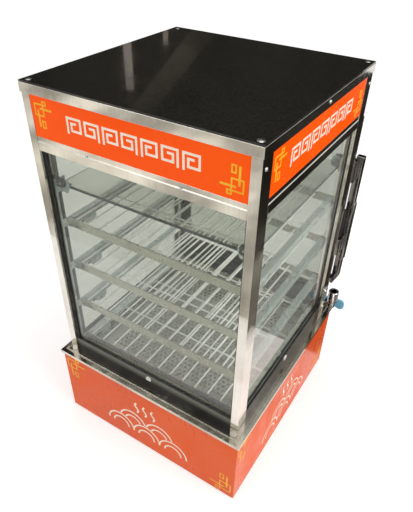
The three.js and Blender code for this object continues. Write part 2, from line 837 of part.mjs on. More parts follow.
// Inner ceiling on the header rails' lips, and the lamp above it
const ceilingBottom = headerBottom + CABINET_SHEET + CLEARANCE;
const ceilingTop = ceilingBottom + CABINET_SHEET;
const ceilingInset = (recess) => grooveBack(recess) + CABINET_SHEET + 2 * CLEARANCE;
const ceilingX = postX - ceilingInset(SIDE_GLASS_RECESS);
add(
  "inner_ceiling",
  block(
    [-ceilingX, ceilingX],
    [frontY + ceilingInset(FRONT_GLASS_RECESS), backY - CABINET_SHEET - 2 * CLEARANCE],
    [ceilingBottom, ceilingTop],
  ),
  satinSteel,
);
const lampY = frontY + LAMP_SETBACK;
const lampZ = ceilingTop + LAMP_LIFT;
const holderFootTop = ceilingTop + LAMP_HOLDER_FOOT_HEIGHT;
add("lamp_tube", rod("x", [-LAMP_LENGTH / 2, LAMP_LENGTH / 2], LAMP_RADIUS, [lampY, lampZ], 12), lampWhite);
addPair(
  "lamp_holder_right",
  "lamp_holder_left",
  extrudeX(
    shapeOf([
      [lampY - LAMP_RADIUS - LAMP_HOLDER_FOOT, ceilingTop + CLEARANCE],
      [lampY + LAMP_RADIUS + LAMP_HOLDER_FOOT, ceilingTop + CLEARANCE],
      [lampY + LAMP_RADIUS + LAMP_HOLDER_FOOT, holderFootTop],
      [lampY + LAMP_RADIUS, holderFootTop + LAMP_HOLDER_FOOT],
      [lampY + LAMP_RADIUS, lampZ + LAMP_RADIUS],
      [lampY - LAMP_RADIUS, lampZ + LAMP_RADIUS],
      [lampY - LAMP_RADIUS, holderFootTop + LAMP_HOLDER_FOOT],
      [lampY - LAMP_RADIUS - LAMP_HOLDER_FOOT, holderFootTop],
    ]),
    [LAMP_LENGTH / 2 + CLEARANCE, LAMP_LENGTH / 2 + CLEARANCE + LAMP_HOLDER_WIDTH],
  ),
  lampWhite,
);

// Base housing: a sheet shell with a turned-in upper edge, and the cut-outs of its rear wall
const baseY = [baseFront, baseBack];
const controlZ = housingBottom + CONTROL_HEIGHT;
const glandZ = housingBottom + GLAND_HEIGHT;
const valveY = baseBack + VALVE_STANDOFF;
const pipeZ = housingBottom + PIPE_HEIGHT;
const throughRearWall = [baseBack - 2 * BASE_SHEET, baseBack + BASE_SHEET];
const louvres = [];
for (let column = 0; column < LOUVRE_COLUMNS; column++) {
  for (let row = 0; row < LOUVRE_COUNT; row++) {
    const x = LOUVRE_X + column * (LOUVRE_LENGTH + LOUVRE_BRIDGE);
    const z = controlZ + (row - (LOUVRE_COUNT - 1) / 2) * LOUVRE_PITCH;
    louvres.push(block([x, x + LOUVRE_LENGTH], throughRearWall, [z, z + LOUVRE_HEIGHT]));
  }
}
const housingShell = cut(
  block([-baseX, baseX], baseY, [housingBottom, housingTop]),
  block(inset([-baseX, baseX], BASE_SHEET), inset(baseY, BASE_SHEET), [
    housingBottom - 1,
    housingTop - BASE_SHEET,
  ]),
  block(inset([-baseX, baseX], BASE_FLANGE), inset(baseY, BASE_FLANGE), [
    housingTop - BASE_SHEET - 1,
    housingTop + 1,
  ]),
);
add(
  "base_housing",
  cut(
    housingShell,
    ...louvres,
    rod("y", throughRearWall, PIPE_RADIUS + 2 * CLEARANCE, [VALVE_X, pipeZ], 16),
    rod("y", throughRearWall, SPINDLE_RADIUS + SPINDLE_HOLE_GAP, [THERMOSTAT_X, controlZ], 12),
    rod("y", throughRearWall, PILOT_RADIUS + CLEARANCE, [PILOT_X, controlZ], 12),
    rod("y", throughRearWall, GLAND_RADIUS + CLEARANCE, [GLAND_X, glandZ], 12),
    block(
      [SWITCH_X - SWITCH_WIDTH / 2 + SWITCH_BEZEL, SWITCH_X + SWITCH_WIDTH / 2 - SWITCH_BEZEL],
      throughRearWall,
      [controlZ - SWITCH_HEIGHT / 2 + SWITCH_BEZEL, controlZ + SWITCH_HEIGHT / 2 - SWITCH_BEZEL],
    ),
  ),
  baseOrange,
);

// Bottom plate with vent slots, let in flush between the housing's walls
const plateBottom = housingBottom;
const plateX = baseX - BASE_SHEET - CLEARANCE;
const plateY = inset(baseY, BASE_SHEET + CLEARANCE);
const ventSlots = [];
for (let row = 0; row < VENT_ROWS; row++) {
  for (const side of [-1, 1]) {
    const x = side * VENT_SPREAD;
    const y = (baseFront + baseBack) / 2 + (row - (VENT_ROWS - 1) / 2) * VENT_PITCH;
    ventSlots.push(
      block(
        [x - VENT_LENGTH / 2, x + VENT_LENGTH / 2],
        [y - VENT_WIDTH / 2, y + VENT_WIDTH / 2],
        [plateBottom - 1, plateBottom + BASE_SHEET + 1],
      ),
    );
  }
}
add(
  "base_bottom_plate",
  cut(block([-plateX, plateX], plateY, [plateBottom, plateBottom + BASE_SHEET]), ...ventSlots),
  satinSteel,
);

// Rubber feet, under the bottom plate at the four corners
const footTop = plateBottom - CLEARANCE;
const footProfile = [
  [0, 0],
  [FOOT_RADIUS - FOOT_CHAMFER, 0],
  [FOOT_RADIUS, FOOT_CHAMFER],
  [FOOT_RADIUS, footTop],
  [0, footTop],
].map(([r, z]) => new THREE.Vector2(r, z));
const footNames = ["foot_front_left", "foot_front_right", "foot_rear_left", "foot_rear_right"];
footNames.forEach((name, i) => {
  const x = (i % 2 === 0 ? -1 : 1) * (baseX - FOOT_INSET);
  const y = i < 2 ? baseFront + FOOT_INSET : baseBack - FOOT_INSET;
  const foot = new THREE.LatheGeometry(footProfile, 20).rotateX(Math.PI / 2).translate(x, y, 0);
  add(name, foot, rubber);
});

// Rim tray: a hemmed skirt, a crest, a narrow groove, a flat for the posts and a ledge for the tank
const rimHalf = RIM_SHEET / 2;
const flatZ = rimTop - rimHalf;
const ledgeZ = flatZ - RIM_LEDGE_DEPTH;
const ledgeEnd = RIM_LEDGE_START + RIM_LEDGE_WIDTH;
const rimProfile = folded(
  [
    [RIM_HEM, housingTop + CLEARANCE + rimHalf],
    [rimHalf, housingTop + CLEARANCE + rimHalf],
    [rimHalf, flatZ],
    [RIM_CREST, flatZ],
    [RIM_CREST + GUTTER_SLOPE, flatZ - GUTTER_DEPTH],
    [RIM_CREST + GUTTER_SLOPE + GUTTER_WIDTH, flatZ - GUTTER_DEPTH],
    [RIM_CREST + 2 * GUTTER_SLOPE + GUTTER_WIDTH, flatZ],
    [RIM_LEDGE_START, flatZ],
    [RIM_LEDGE_START, ledgeZ],
    [ledgeEnd, ledgeZ],
    [ledgeEnd, ledgeZ - RIM_INNER_LIP],
  ],
  RIM_SHEET,
)
  .getPoints()
  .slice(0, -1)
  .map((p) => [p.x, p.y]);
add("rim_tray", mitredFrame([-rimX, rimX], [rimFront, rimBack], rimProfile, lyingFlat), mirrorSteel);

// Water tank, hung by its flange on the rim's ledge
function roundedBar([x0, x1], [y0, y1], radius) {
  const shape = new THREE.Shape();
  shape.absarc(x1 - radius, y0 + radius, radius, -Math.PI / 2, 0);
  shape.absarc(x1 - radius, y1 - radius, radius, 0, Math.PI / 2);
  shape.absarc(x0 + radius, y1 - radius, radius, Math.PI / 2, Math.PI);
  shape.absarc(x0 + radius, y0 + radius, radius, Math.PI, 1.5 * Math.PI);
  return shape;
}
const tankInset = ledgeEnd + rimHalf + 2 * CLEARANCE;
const tankX = [-rimX + tankInset, rimX - tankInset];
const tankY = [rimFront + tankInset, rimBack - tankInset];
const tankFlangeBottom = ledgeZ + rimHalf + CLEARANCE;
const tankTop = tankFlangeBottom + TANK_SHEET;
const tankBottom = tankTop - TANK_DEPTH;
const heaterZ = tankBottom + TANK_SHEET + HEATER_LIFT;
const feedY = tankY[1] - PIPE_BEND - PIPE_STUB;
const throughTankWall = (outerFace) => [outerFace - 3 * TANK_SHEET, outerFace + 3 * TANK_SHEET];
const flangeInset = RIM_LEDGE_START + rimHalf + 2 * CLEARANCE;
add(
  "water_tank",
  cut(
    joined(
      extrudeZ(roundedBar(tankX, tankY, TANK_CORNER), [tankBottom, tankTop]),
      block(
        [-rimX + flangeInset, rimX - flangeInset],
        [rimFront + flangeInset, rimBack - flangeInset],
        [tankFlangeBottom, tankTop],
      ),
    ),
    extrudeZ(roundedBar(inset(tankX, TANK_SHEET), inset(tankY, TANK_SHEET), TANK_CORNER - TANK_SHEET), [
      tankBottom + TANK_SHEET,
      tankTop + 1,
    ]),
    ...[-HEATER_HALF_SPAN, HEATER_HALF_SPAN].map((x) =>
      rod("y", throughTankWall(tankY[1]), HEATER_TUBE_RADIUS + CLEARANCE, [x, heaterZ], 8),
    ),
    rod("x", throughTankWall(tankX[1]), PIPE_RADIUS + CLEARANCE, [feedY, pipeZ], 16),
  ),
  satinSteel,
);

// Heater: a sheathed U with a nut on either side of the tank's rear wall
const nutOutside = (face, thickness) => [face + CLEARANCE, face + CLEARANCE + thickness];
const nutInside = (face, thickness) => [face - CLEARANCE - thickness, face - CLEARANCE];
const heaterBack = tankY[1] + HEATER_TAIL;
const heaterFront = tankY[0] + HEATER_FRONT_GAP;
const heaterNuts = [-HEATER_HALF_SPAN, HEATER_HALF_SPAN].flatMap((x) => [
  rod("y", nutOutside(tankY[1], HEATER_NUT_THICKNESS), HEATER_NUT_RADIUS, [x, heaterZ], 6),
  rod("y", nutInside(tankY[1] - TANK_SHEET, HEATER_NUT_THICKNESS), HEATER_NUT_RADIUS, [x, heaterZ], 6),
]);

add(
  "heater_element",
  joined(
    bentRod(
      [
        [-HEATER_HALF_SPAN, heaterBack, heaterZ],
        [-HEATER_HALF_SPAN, heaterFront, heaterZ],
        [HEATER_HALF_SPAN, heaterFront, heaterZ],
        [HEATER_HALF_SPAN, heaterBack, heaterZ],
      ],
      HEATER_TUBE_RADIUS,
      HEATER_BEND,
    ),
    ...heaterNuts,
  ),
  satinSteel,
);

// Steam plate, laid on the tank's side flanges between the sills
const steamX = rimX - flangeInset - 1;
const steamBottom = tankTop + CLEARANCE;
const frontSillEnd = frontY + grooveBack(FRONT_GLASS_RECESS) + CABINET_SHEET;
const rearSillEnd = backY - REAR_SILL_DEPTH - half;
const steamY = [frontSillEnd + STEAM_PLATE_SIDE_GAP / 2, rearSillEnd - STEAM_PLATE_SIDE_GAP / 2];
const steamHoles = [];
const holeRows = Math.floor((steamY[1] - steamY[0] - STEAM_HOLE_PITCH) / STEAM_HOLE_PITCH);
const holeColumns = Math.floor((2 * (steamX - STEAM_PLATE_BORDER)) / STEAM_HOLE_PITCH);
for (let row = 0; row < holeRows; row++) {
  const shift = row % 2 === 0 ? 0 : STEAM_HOLE_PITCH / 2;
  for (let column = 0; column < holeColumns; column++) {
    const x = (column - (holeColumns - 0.5) / 2) * STEAM_HOLE_PITCH + shift;
    const y = (steamY[0] + steamY[1]) / 2 + (row - (holeRows - 1) / 2) * STEAM_HOLE_PITCH;
    const hole = new THREE.Path().absarc(x, y, STEAM_HOLE_RADIUS, 0, 2 * Math.PI);
    steamHoles.push(hole);
  }
}
const steamShape = shapeOf([
  [-steamX, steamY[0]],
  [steamX, steamY[0]],
  [steamX, steamY[1]],
  [-steamX, steamY[1]],
]);
steamShape.holes = steamHoles;
const steamPlate = new THREE.ExtrudeGeometry(steamShape, {
  depth: STEAM_PLATE_THICKNESS,
  bevelEnabled: false,
  curveSegments: 3,
}).translate(0, 0, steamBottom);
add("steam_plate", steamPlate, satinSteel);

// Shelf racks: two slim uprights on the posts' inner walls, and a channel for each shelf between them
const rackOuter = innerX - CLEARANCE;
const webOuter = postX - grooveBack(SIDE_GLASS_RECESS) - CABINET_SHEET - CLEARANCE;
const webX = [webOuter - CHANNEL_SHEET, webOuter];
const channelInner = webOuter - CHANNEL_DEPTH;
const shelfTops = Array.from({ length: SHELF_COUNT }, (_, i) => rimTop + SHELF_LOWEST_TOP + i * SHELF_PITCH);
const shelfFrontY = postFrontBack + CLEARANCE + SHELF_FRONT_GAP;
const shelfBackY = postRearFront - CLEARANCE - SHELF_FRONT_GAP;
const channelY = [
  shelfFrontY + SHELF_BAR_THICKNESS + CHANNEL_END_GAP,
  shelfBackY - SHELF_BAR_THICKNESS - CHANNEL_END_GAP,
];
const dripMiddle = headerBottom - DRIP_PLATE_DROP;
const dripBottom = dripMiddle - DRIP_PLATE_THICKNESS / 2;
const hookZ = [dripMiddle - DRIP_HOOK_HEIGHT / 2, dripMiddle + DRIP_HOOK_HEIGHT / 2];
const channelTop = (top) => top - CHANNEL_DROP;
const channelBottom = (top) => channelTop(top) - CHANNEL_HEIGHT;

// One level: a web from upright to upright, with its flanges turned in between the shelf's bars
function rackChannel(top) {
  const web = webOuter - CHANNEL_SHEET / 2;
  const low = channelBottom(top) + CHANNEL_SHEET / 2;
  const high = channelTop(top) - CHANNEL_SHEET / 2;
  const path = [
    [channelInner, low],
    [web, low],
    [web, high],
    [channelInner, high],
  ];
  const webZ = [channelBottom(top), channelTop(top)];
  return [
    extrudeY(folded(path, CHANNEL_SHEET), channelY),
    block(webX, [frontUprightY[0], rearUprightY[1]], webZ),
  ];
}

// A hook's web runs from its upright to the cheek that the drip plate's edge lies against
function dripHook(webY, cheekY, ledgeY) {
  const tip = webOuter - DRIP_HOOK_REACH;
  const waist = tip + DRIP_HOOK_TAPER;
  const cheek = extrudeY(
    shapeOf([
      [webX[1], hookZ[0]],
      [waist, hookZ[0]],
      [tip, dripMiddle],
      [waist, hookZ[1]],
      [webX[1], hookZ[1]],
    ]),
    cheekY,
  );
  const ledgeZ = [dripBottom - CLEARANCE - DRIP_HOOK_SHEET, dripBottom - CLEARANCE];
  return [cheek, block(webX, webY, hookZ), block([waist, webX[1]], ledgeY, ledgeZ)];
}

const cheekFrontY = [postFrontBack + CLEARANCE, postFrontBack + CLEARANCE + DRIP_HOOK_SHEET];
const cheekRearY = [postRearFront - CLEARANCE - DRIP_HOOK_SHEET, postRearFront - CLEARANCE];
const ledgeFrontY = [cheekFrontY[0], cheekFrontY[0] + DRIP_LEDGE];
const ledgeRearY = [cheekRearY[1] - DRIP_LEDGE, cheekRearY[1]];
const uprightZ = [channelBottom(shelfTops[0]) - UPRIGHT_TAIL, hookZ[1]];
addPair(
  "shelf_rack_right",
  "shelf_rack_left",
  joined(
    block([webX[0], rackOuter], frontUprightY, uprightZ),
    block([webX[0], rackOuter], rearUprightY, uprightZ),
    ...shelfTops.flatMap(rackChannel),
    ...dripHook([frontUprightY[0], ledgeFrontY[1]], cheekFrontY, ledgeFrontY),
    ...dripHook([ledgeRearY[0], rearUprightY[1]], cheekRearY, ledgeRearY),
  ),
  satinSteel,
);

// Drip plate of glass, held by the racks' hooks
add(
  "drip_plate",
  block(
    [-(webX[0] - CLEARANCE), webX[0] - CLEARANCE],
    [cheekFrontY[1] + CLEARANCE, cheekRearY[0] - CLEARANCE],
    [dripBottom, dripBottom + DRIP_PLATE_THICKNESS],
  ),
  clearGlass,
);

// Wire shelves: flat bars front and back, side rods in the channels, wires from front to back
const shelfHalf = webX[0] - SHELF_END_GAP;
const sideRodX = (channelInner + webOuter) / 2;

function wireShelf(top) {
  const barZ = [top - SHELF_BAR_HEIGHT, top];
  const wireZ = top - SHELF_WIRE_DROP - SHELF_WIRE_RADIUS;
  const crossZ = wireZ - 1.7 * SHELF_WIRE_RADIUS;
  const rodZ = channelBottom(top) + CHANNEL_SHEET + CLEARANCE + SHELF_ROD_RADIUS;
  const between = [shelfFrontY + SHELF_BAR_THICKNESS / 2, shelfBackY - SHELF_BAR_THICKNESS / 2];
  const pieces = [
    block([-shelfHalf, shelfHalf], [shelfFrontY, shelfFrontY + SHELF_BAR_THICKNESS], barZ),
    block([-shelfHalf, shelfHalf], [shelfBackY - SHELF_BAR_THICKNESS, shelfBackY], barZ),
    rod("y", between, SHELF_ROD_RADIUS, [sideRodX, rodZ], 6),
    rod("y", between, SHELF_ROD_RADIUS, [-sideRodX, rodZ], 6),
  ];
  const wires = 2 * Math.floor((channelInner - SHELF_WIRE_PITCH / 2) / SHELF_WIRE_PITCH) + 1;
  for (let i = 0; i < wires; i++) {
    const x = (i - (wires - 1) / 2) * SHELF_WIRE_PITCH;
    pieces.push(rod("y", between, SHELF_WIRE_RADIUS, [x, wireZ], 6));
  }
  for (let i = 1; i <= SHELF_CROSS_WIRES; i++) {
    const y = shelfFrontY + ((shelfBackY - shelfFrontY) * i) / (SHELF_CROSS_WIRES + 1);
    pieces.push(rod("x", [-sideRodX, sideRodX], SHELF_WIRE_RADIUS, [y, crossZ], 6));
  }
  return joined(...pieces);
}
shelfTops.forEach((top, i) => add(`shelf_${i + 1}`, wireShelf(top), satinSteel));

// Rear door: an L-section frame with its pane, gasket and hinge knuckles
const doorInner = backY + DOOR_GASKET + 2 * CLEARANCE;
const doorOuter = doorInner + DOOR_THICKNESS;
const doorX = [-(postX - DOOR_EDGE_GAP), postX - DOOR_EDGE_GAP];
const doorZ = [rearSillTop - DOOR_OVERLAP, headerBottom + DOOR_OVERLAP];
const rebate = DOOR_STILE - DOOR_REBATE;
const hingeX = -(postX + HINGE_KNUCKLE_RADIUS - 1.3);
const hingeY = (doorInner + doorOuter) / 2;
const hingeBottoms = [doorZ[0] + HINGE_INSET, doorZ[1] - HINGE_INSET - HINGE_HEIGHT];
const knuckleSplit = (z) => z + HINGE_HEIGHT / 2;

function doorKnuckle(z) {
  const span = [knuckleSplit(z) + CLEARANCE, z + HINGE_HEIGHT];
  const knuckle = rod("z", span, HINGE_KNUCKLE_RADIUS, [hingeX, hingeY], 20);
  const web = block([hingeX + HINGE_PIN_RADIUS + 0.7, doorX[0] + 2], [hingeY - 1.5, hingeY + 1.5], span);
  const boreRadius = HINGE_PIN_RADIUS + HINGE_PIN_CLEARANCE;
  const bore = rod("z", [span[0] - 1, span[1] + 1], boreRadius, [hingeX, hingeY], 20);
  return cut(joined(knuckle, web), bore);
}

const doorRing = mitredFrame(
  doorX,
  doorZ,
  [
    [0, doorInner],
    [rebate, doorInner],
    [rebate, doorOuter - DOOR_FLANGE],
    [DOOR_STILE, doorOuter - DOOR_FLANGE],
    [DOOR_STILE, doorOuter],
    [0, doorOuter],
  ],
  facingFront,
);
add("door_frame", joined(doorRing, ...hingeBottoms.map(doorKnuckle)), mirrorSteel);

const doorGlassOuter = doorOuter - DOOR_FLANGE - CLEARANCE;
const doorGlassInner = doorGlassOuter - GLASS_THICKNESS;
add(
  "door_glass",
  block(inset(doorX, rebate + CLEARANCE), [doorGlassInner, doorGlassOuter], inset(doorZ, rebate + CLEARANCE)),
  clearGlass,
);
add(
  "door_gasket",
  mitredFrame(
    doorX,
    doorZ,
    [
      [DOOR_SEAL_EDGE, backY + CLEARANCE],
      [DOOR_SEAL_EDGE + DOOR_SEAL_WIDTH, backY + CLEARANCE],
      [DOOR_SEAL_EDGE + DOOR_SEAL_WIDTH, doorInner - CLEARANCE - DOOR_SEAL_LIP],
      [DOOR_STILE - 2, doorInner - CLEARANCE - DOOR_SEAL_LIP],
      [DOOR_STILE - 2, doorGlassInner - CLEARANCE],
      [rebate + 2 * CLEARANCE, doorGlassInner - CLEARANCE],
      [rebate + 2 * CLEARANCE, doorInner - CLEARANCE],
      [DOOR_SEAL_EDGE, doorInner - CLEARANCE],
    ],
    facingFront,
  ),
  rubber,
);

// Hinges: a leaf on the left rear post with a knuckle and a pin that the door lifts off
function fixedHinge(z) {
  const leafX = [-(postX + CLEARANCE + CABINET_SHEET), -(postX + CLEARANCE)];
  const knuckleZ = [z, knuckleSplit(z)];
  const clearOfDoorKnuckle = hingeY - HINGE_KNUCKLE_RADIUS - 1.2;
  return joined(
    block(leafX, [backY - HINGE_LEAF, clearOfDoorKnuckle], [z, z + HINGE_HEIGHT]),
    block(leafX, [clearOfDoorKnuckle - 1, hingeY], knuckleZ),
    rod("z", knuckleZ, HINGE_KNUCKLE_RADIUS, [hingeX, hingeY], 20),
    rod("z", [knuckleZ[0] + 2, z + HINGE_HEIGHT - 3], HINGE_PIN_RADIUS, [hingeX, hingeY], 20),
  );
}
add("hinge_lower", fixedHinge(hingeBottoms[0]), mirrorSteel);
add("hinge_upper", fixedHinge(hingeBottoms[1]), mirrorSteel);

// Pull: a long bar, cut slanting at its lower end and swollen at the grip, stood off the door on three feet
const pullX = [postX + PULL_OUTSET - PULL_WIDTH, postX + PULL_OUTSET];
const pullZ0 = doorZ[0] + PULL_RISE;
const pullZ1 = pullZ0 + PULL_LENGTH;
const pullInner = doorOuter + PULL_STANDOFF;
const swellZ = [pullZ0 + PULL_SWELL_RISE, pullZ0 + PULL_SWELL_RISE + PULL_SWELL_LENGTH];
const pullOutline = shapeOf([
  [pullX[0], pullZ0],
  [pullX[1] - PULL_CUT_DEPTH, pullZ0],
  [pullX[1], pullZ0 + PULL_CUT_HEIGHT],
  [pullX[1], swellZ[0]],
  [pullX[1] + PULL_SWELL, swellZ[0] + PULL_SWELL],
  [pullX[1] + PULL_SWELL, swellZ[1] - PULL_SWELL],
  [pullX[1], swellZ[1]],
  [pullX[1], pullZ1],
  [pullX[0], pullZ1],
]);
const footX = [doorX[1] - PULL_FOOT_WIDTH, pullX[0] + PULL_WIDTH / 2];
const footY = [doorOuter + CLEARANCE, pullInner + PULL_EDGE];
const middleFootTop = pullZ0 + PULL_MIDDLE_FOOT_RISE + PULL_MIDDLE_FOOT;
const pullFeet = [
  [pullZ0 + PULL_LOW_FOOT_RISE, pullZ0 + PULL_LOW_FOOT_RISE + PULL_LOW_FOOT],
  [pullZ0 + PULL_MIDDLE_FOOT_RISE, middleFootTop],
  [pullZ1 - PULL_TOP_FOOT_DROP - PULL_TOP_FOOT, pullZ1 - PULL_TOP_FOOT_DROP],
];
add(
  "door_pull",
  joined(
    extrudeY(pullOutline, [pullInner, pullInner + PULL_THICKNESS], PULL_EDGE),
    ...pullFeet.map((footZ) => block(footX, footY, footZ)),
  ),
  mirrorSteel,
);
add(
  "pull_grip",
  extrudeY(
    roundedBar(
      [doorX[1] - GRIP_WIDTH, pullX[0] + GRIP_LAP],
      [middleFootTop + CLEARANCE, middleFootTop + CLEARANCE + GRIP_LENGTH],
      GRIP_CORNER,
    ),
    [doorOuter + CLEARANCE, pullInner - CLEARANCE],
  ),
  blackPlastic,
);

// Feed pipe: from the tank's right wall, round a bend and out through the rear wall of the base
const pipeEnd = baseBack + CLEARANCE + PIPE_NUT_THICKNESS;
add(
  "feed_pipe",
  joined(
    bentRod(
      [
        [tankX[1] - TANK_SHEET - CLEARANCE - PIPE_NUT_THICKNESS, feedY, pipeZ],
        [VALVE_X, feedY, pipeZ],
        [VALVE_X, pipeEnd, pipeZ],
      ],
      PIPE_RADIUS,
      PIPE_BEND,
      12,
    ),
    rod("x", nutInside(tankX[1] - TANK_SHEET, PIPE_NUT_THICKNESS), PIPE_NUT_RADIUS, [feedY, pipeZ], 6),
    rod("y", [baseBack + CLEARANCE, pipeEnd], PIPE_NUT_RADIUS, [VALVE_X, pipeZ], 6),
  ),
  chrome,
);

// Cock: an elbow up from the pipe, a barrel that leads aside to the spout, and a boss for the stem
const stemZ = pipeZ + VALVE_BODY_LIFT;
const spoutX = VALVE_X + SPOUT_OFFSET;
const spoutTop = stemZ + SPOUT_HEIGHT;
const headBottom = spoutTop - SPOUT_HEAD;
const bossEnd = valveY + VALVE_BOSS_REACH;
const stemEnd = bossEnd - VALVE_STEM_LENGTH;
const headRings = [0.3, 0.65].flatMap((share) => {
  const z = headBottom + share * SPOUT_HEAD;
  return [
    [SPOUT_RADIUS, z - SPOUT_RING / 2],
    [SPOUT_RADIUS - SPOUT_RING_DEPTH, z - SPOUT_RING / 4],
    [SPOUT_RADIUS - SPOUT_RING_DEPTH, z + SPOUT_RING / 4],
    [SPOUT_RADIUS, z + SPOUT_RING / 2],
  ];
});
const spoutProfile = [
  [0, stemZ + VALVE_BARREL_RADIUS / 2],
  [SPOUT_NECK_RADIUS, stemZ + VALVE_BARREL_RADIUS / 2],
  [SPOUT_NECK_RADIUS, headBottom - (SPOUT_RADIUS - SPOUT_NECK_RADIUS)],
  [SPOUT_RADIUS, headBottom],
  ...headRings,
  [SPOUT_RADIUS, spoutTop - SPOUT_RING / 2],
  [SPOUT_RADIUS - SPOUT_RING / 2, spoutTop],
  [SPOUT_BORE, spoutTop],
  [SPOUT_BORE, stemZ + SPOUT_BORE_FLOOR],
  [0, stemZ + SPOUT_BORE_FLOOR],
].map(([r, z]) => new THREE.Vector2(r, z));
add(
  "valve_body",
  cut(
    joined(
      new THREE.LatheGeometry(spoutProfile, 20).rotateX(Math.PI / 2).translate(spoutX, valveY, 0),
      bentRod(
        [
          [VALVE_X, pipeEnd + CLEARANCE, pipeZ],
          [VALVE_X, valveY, pipeZ],
          [VALVE_X, valveY, stemZ],
        ],
        VALVE_ELBOW_RADIUS,
        VALVE_ELBOW_BEND,
        12,
      ),
      bentRod(
        [
          [VALVE_X - VALVE_BARREL_TAIL, valveY, stemZ],
          [spoutX, valveY, stemZ],
          [spoutX, valveY, stemZ + SPOUT_BORE_FLOOR],
        ],
        VALVE_BARREL_RADIUS,
        VALVE_BARREL_BEND,
        12,
      ),
      rod("y", [valveY, bossEnd], VALVE_BOSS_RADIUS, [VALVE_X, stemZ], 12),
    ),
    rod("y", [stemEnd - 1, bossEnd + 1], VALVE_STEM_RADIUS + CLEARANCE, [VALVE_X, stemZ], 12),
    rod("z", [stemZ + SPOUT_BORE_FLOOR, spoutTop + 1], SPOUT_BORE, [spoutX, valveY], 20),
  ),
  chrome,
);

// Butterfly handle: two paddles that widen from a narrow waist, on a hub with the stem that turns in the boss
const wingY = [bossEnd + CLEARANCE, bossEnd + CLEARANCE + WING_THICKNESS];
function butterfly(span, height, waist) {
  const tip = span / 2;
  const shape = new THREE.Shape();
  shape.moveTo(0, -waist / 2);
  shape.bezierCurveTo(tip * 0.45, -waist / 2, tip * 0.5, -height / 2, tip * 0.76, -height / 2);
  shape.bezierCurveTo(tip * 1.08, -height / 2, tip * 1.08, height / 2, tip * 0.76, height / 2);
  shape.bezierCurveTo(tip * 0.5, height / 2, tip * 0.45, waist / 2, 0, waist / 2);
  shape.bezierCurveTo(-tip * 0.45, waist / 2, -tip * 0.5, height / 2, -tip * 0.76, height / 2);
  shape.bezierCurveTo(-tip * 1.08, height / 2, -tip * 1.08, -height / 2, -tip * 0.76, -height / 2);
  shape.bezierCurveTo(-tip * 0.5, -height / 2, -tip * 0.45, -waist / 2, 0, -waist / 2);
  return shape;
}
add(
  "valve_handle",
  joined(
    extrudeY(butterfly(WING_SPAN, WING_HEIGHT, WING_WAIST), wingY, 0.8).translate(VALVE_X, 0, stemZ),
    rod("y", [wingY[0], wingY[1] + WING_HUB_RISE], WING_HUB_RADIUS, [VALVE_X, stemZ], 16),
    rod("y", [stemEnd, wingY[0] + 1], VALVE_STEM_RADIUS, [VALVE_X, stemZ], 12),
  ),
  wingBlue,
);

// Rocker switch: a bezel and body with a cavity, and the rocker tilted to its off side
const switchBodyX = SWITCH_WIDTH / 2 - SWITCH_BEZEL - CLEARANCE;
const switchBodyZ = SWITCH_HEIGHT / 2 - SWITCH_BEZEL - CLEARANCE;
const rockerHalf = switchBodyZ - SWITCH_WALL + CLEARANCE / 3;
const cavityHalf = rockerHalf + 2 * CLEARANCE;
add(
  "switch_housing",
  cut(
    joined(
      block(
        [SWITCH_X - SWITCH_WIDTH / 2, SWITCH_X + SWITCH_WIDTH / 2],
        [baseBack + CLEARANCE, baseBack + CLEARANCE + SWITCH_BEZEL_DEPTH],
        [controlZ - SWITCH_HEIGHT / 2, controlZ + SWITCH_HEIGHT / 2],
      ),
      block(
        [SWITCH_X - switchBodyX, SWITCH_X + switchBodyX],
        [baseBack - SWITCH_DEPTH, baseBack + 1],
        [controlZ - switchBodyZ, controlZ + switchBodyZ],
      ),
    ),
    block(
      [SWITCH_X - switchBodyX + SWITCH_WALL, SWITCH_X + switchBodyX - SWITCH_WALL],
      [baseBack - SWITCH_CAVITY_DEPTH, baseBack + CLEARANCE + SWITCH_BEZEL_DEPTH + 1],
      [controlZ - cavityHalf, controlZ + cavityHalf],
    ),
  ),
  blackPlastic,
);
const rockerPivotY = baseBack + 0.5;
const rocker = add(
  "switch_rocker",
  extrudeX(
    shapeOf([
      [-3.5, -rockerHalf + 1.5],
      [-3.5, rockerHalf - 1.5],
      [3.2, rockerHalf],
      [1.8, 0],
      [3.2, -rockerHalf],
    ].reverse()),
    inset([-switchBodyX, switchBodyX], SWITCH_WALL + ROCKER_CLEARANCE),
  ),
  pilotRed,
);
rocker.position.set(SWITCH_X, rockerPivotY, controlZ);
rocker.rotation.x = THREE.MathUtils.degToRad(-ROCKER_TILT);

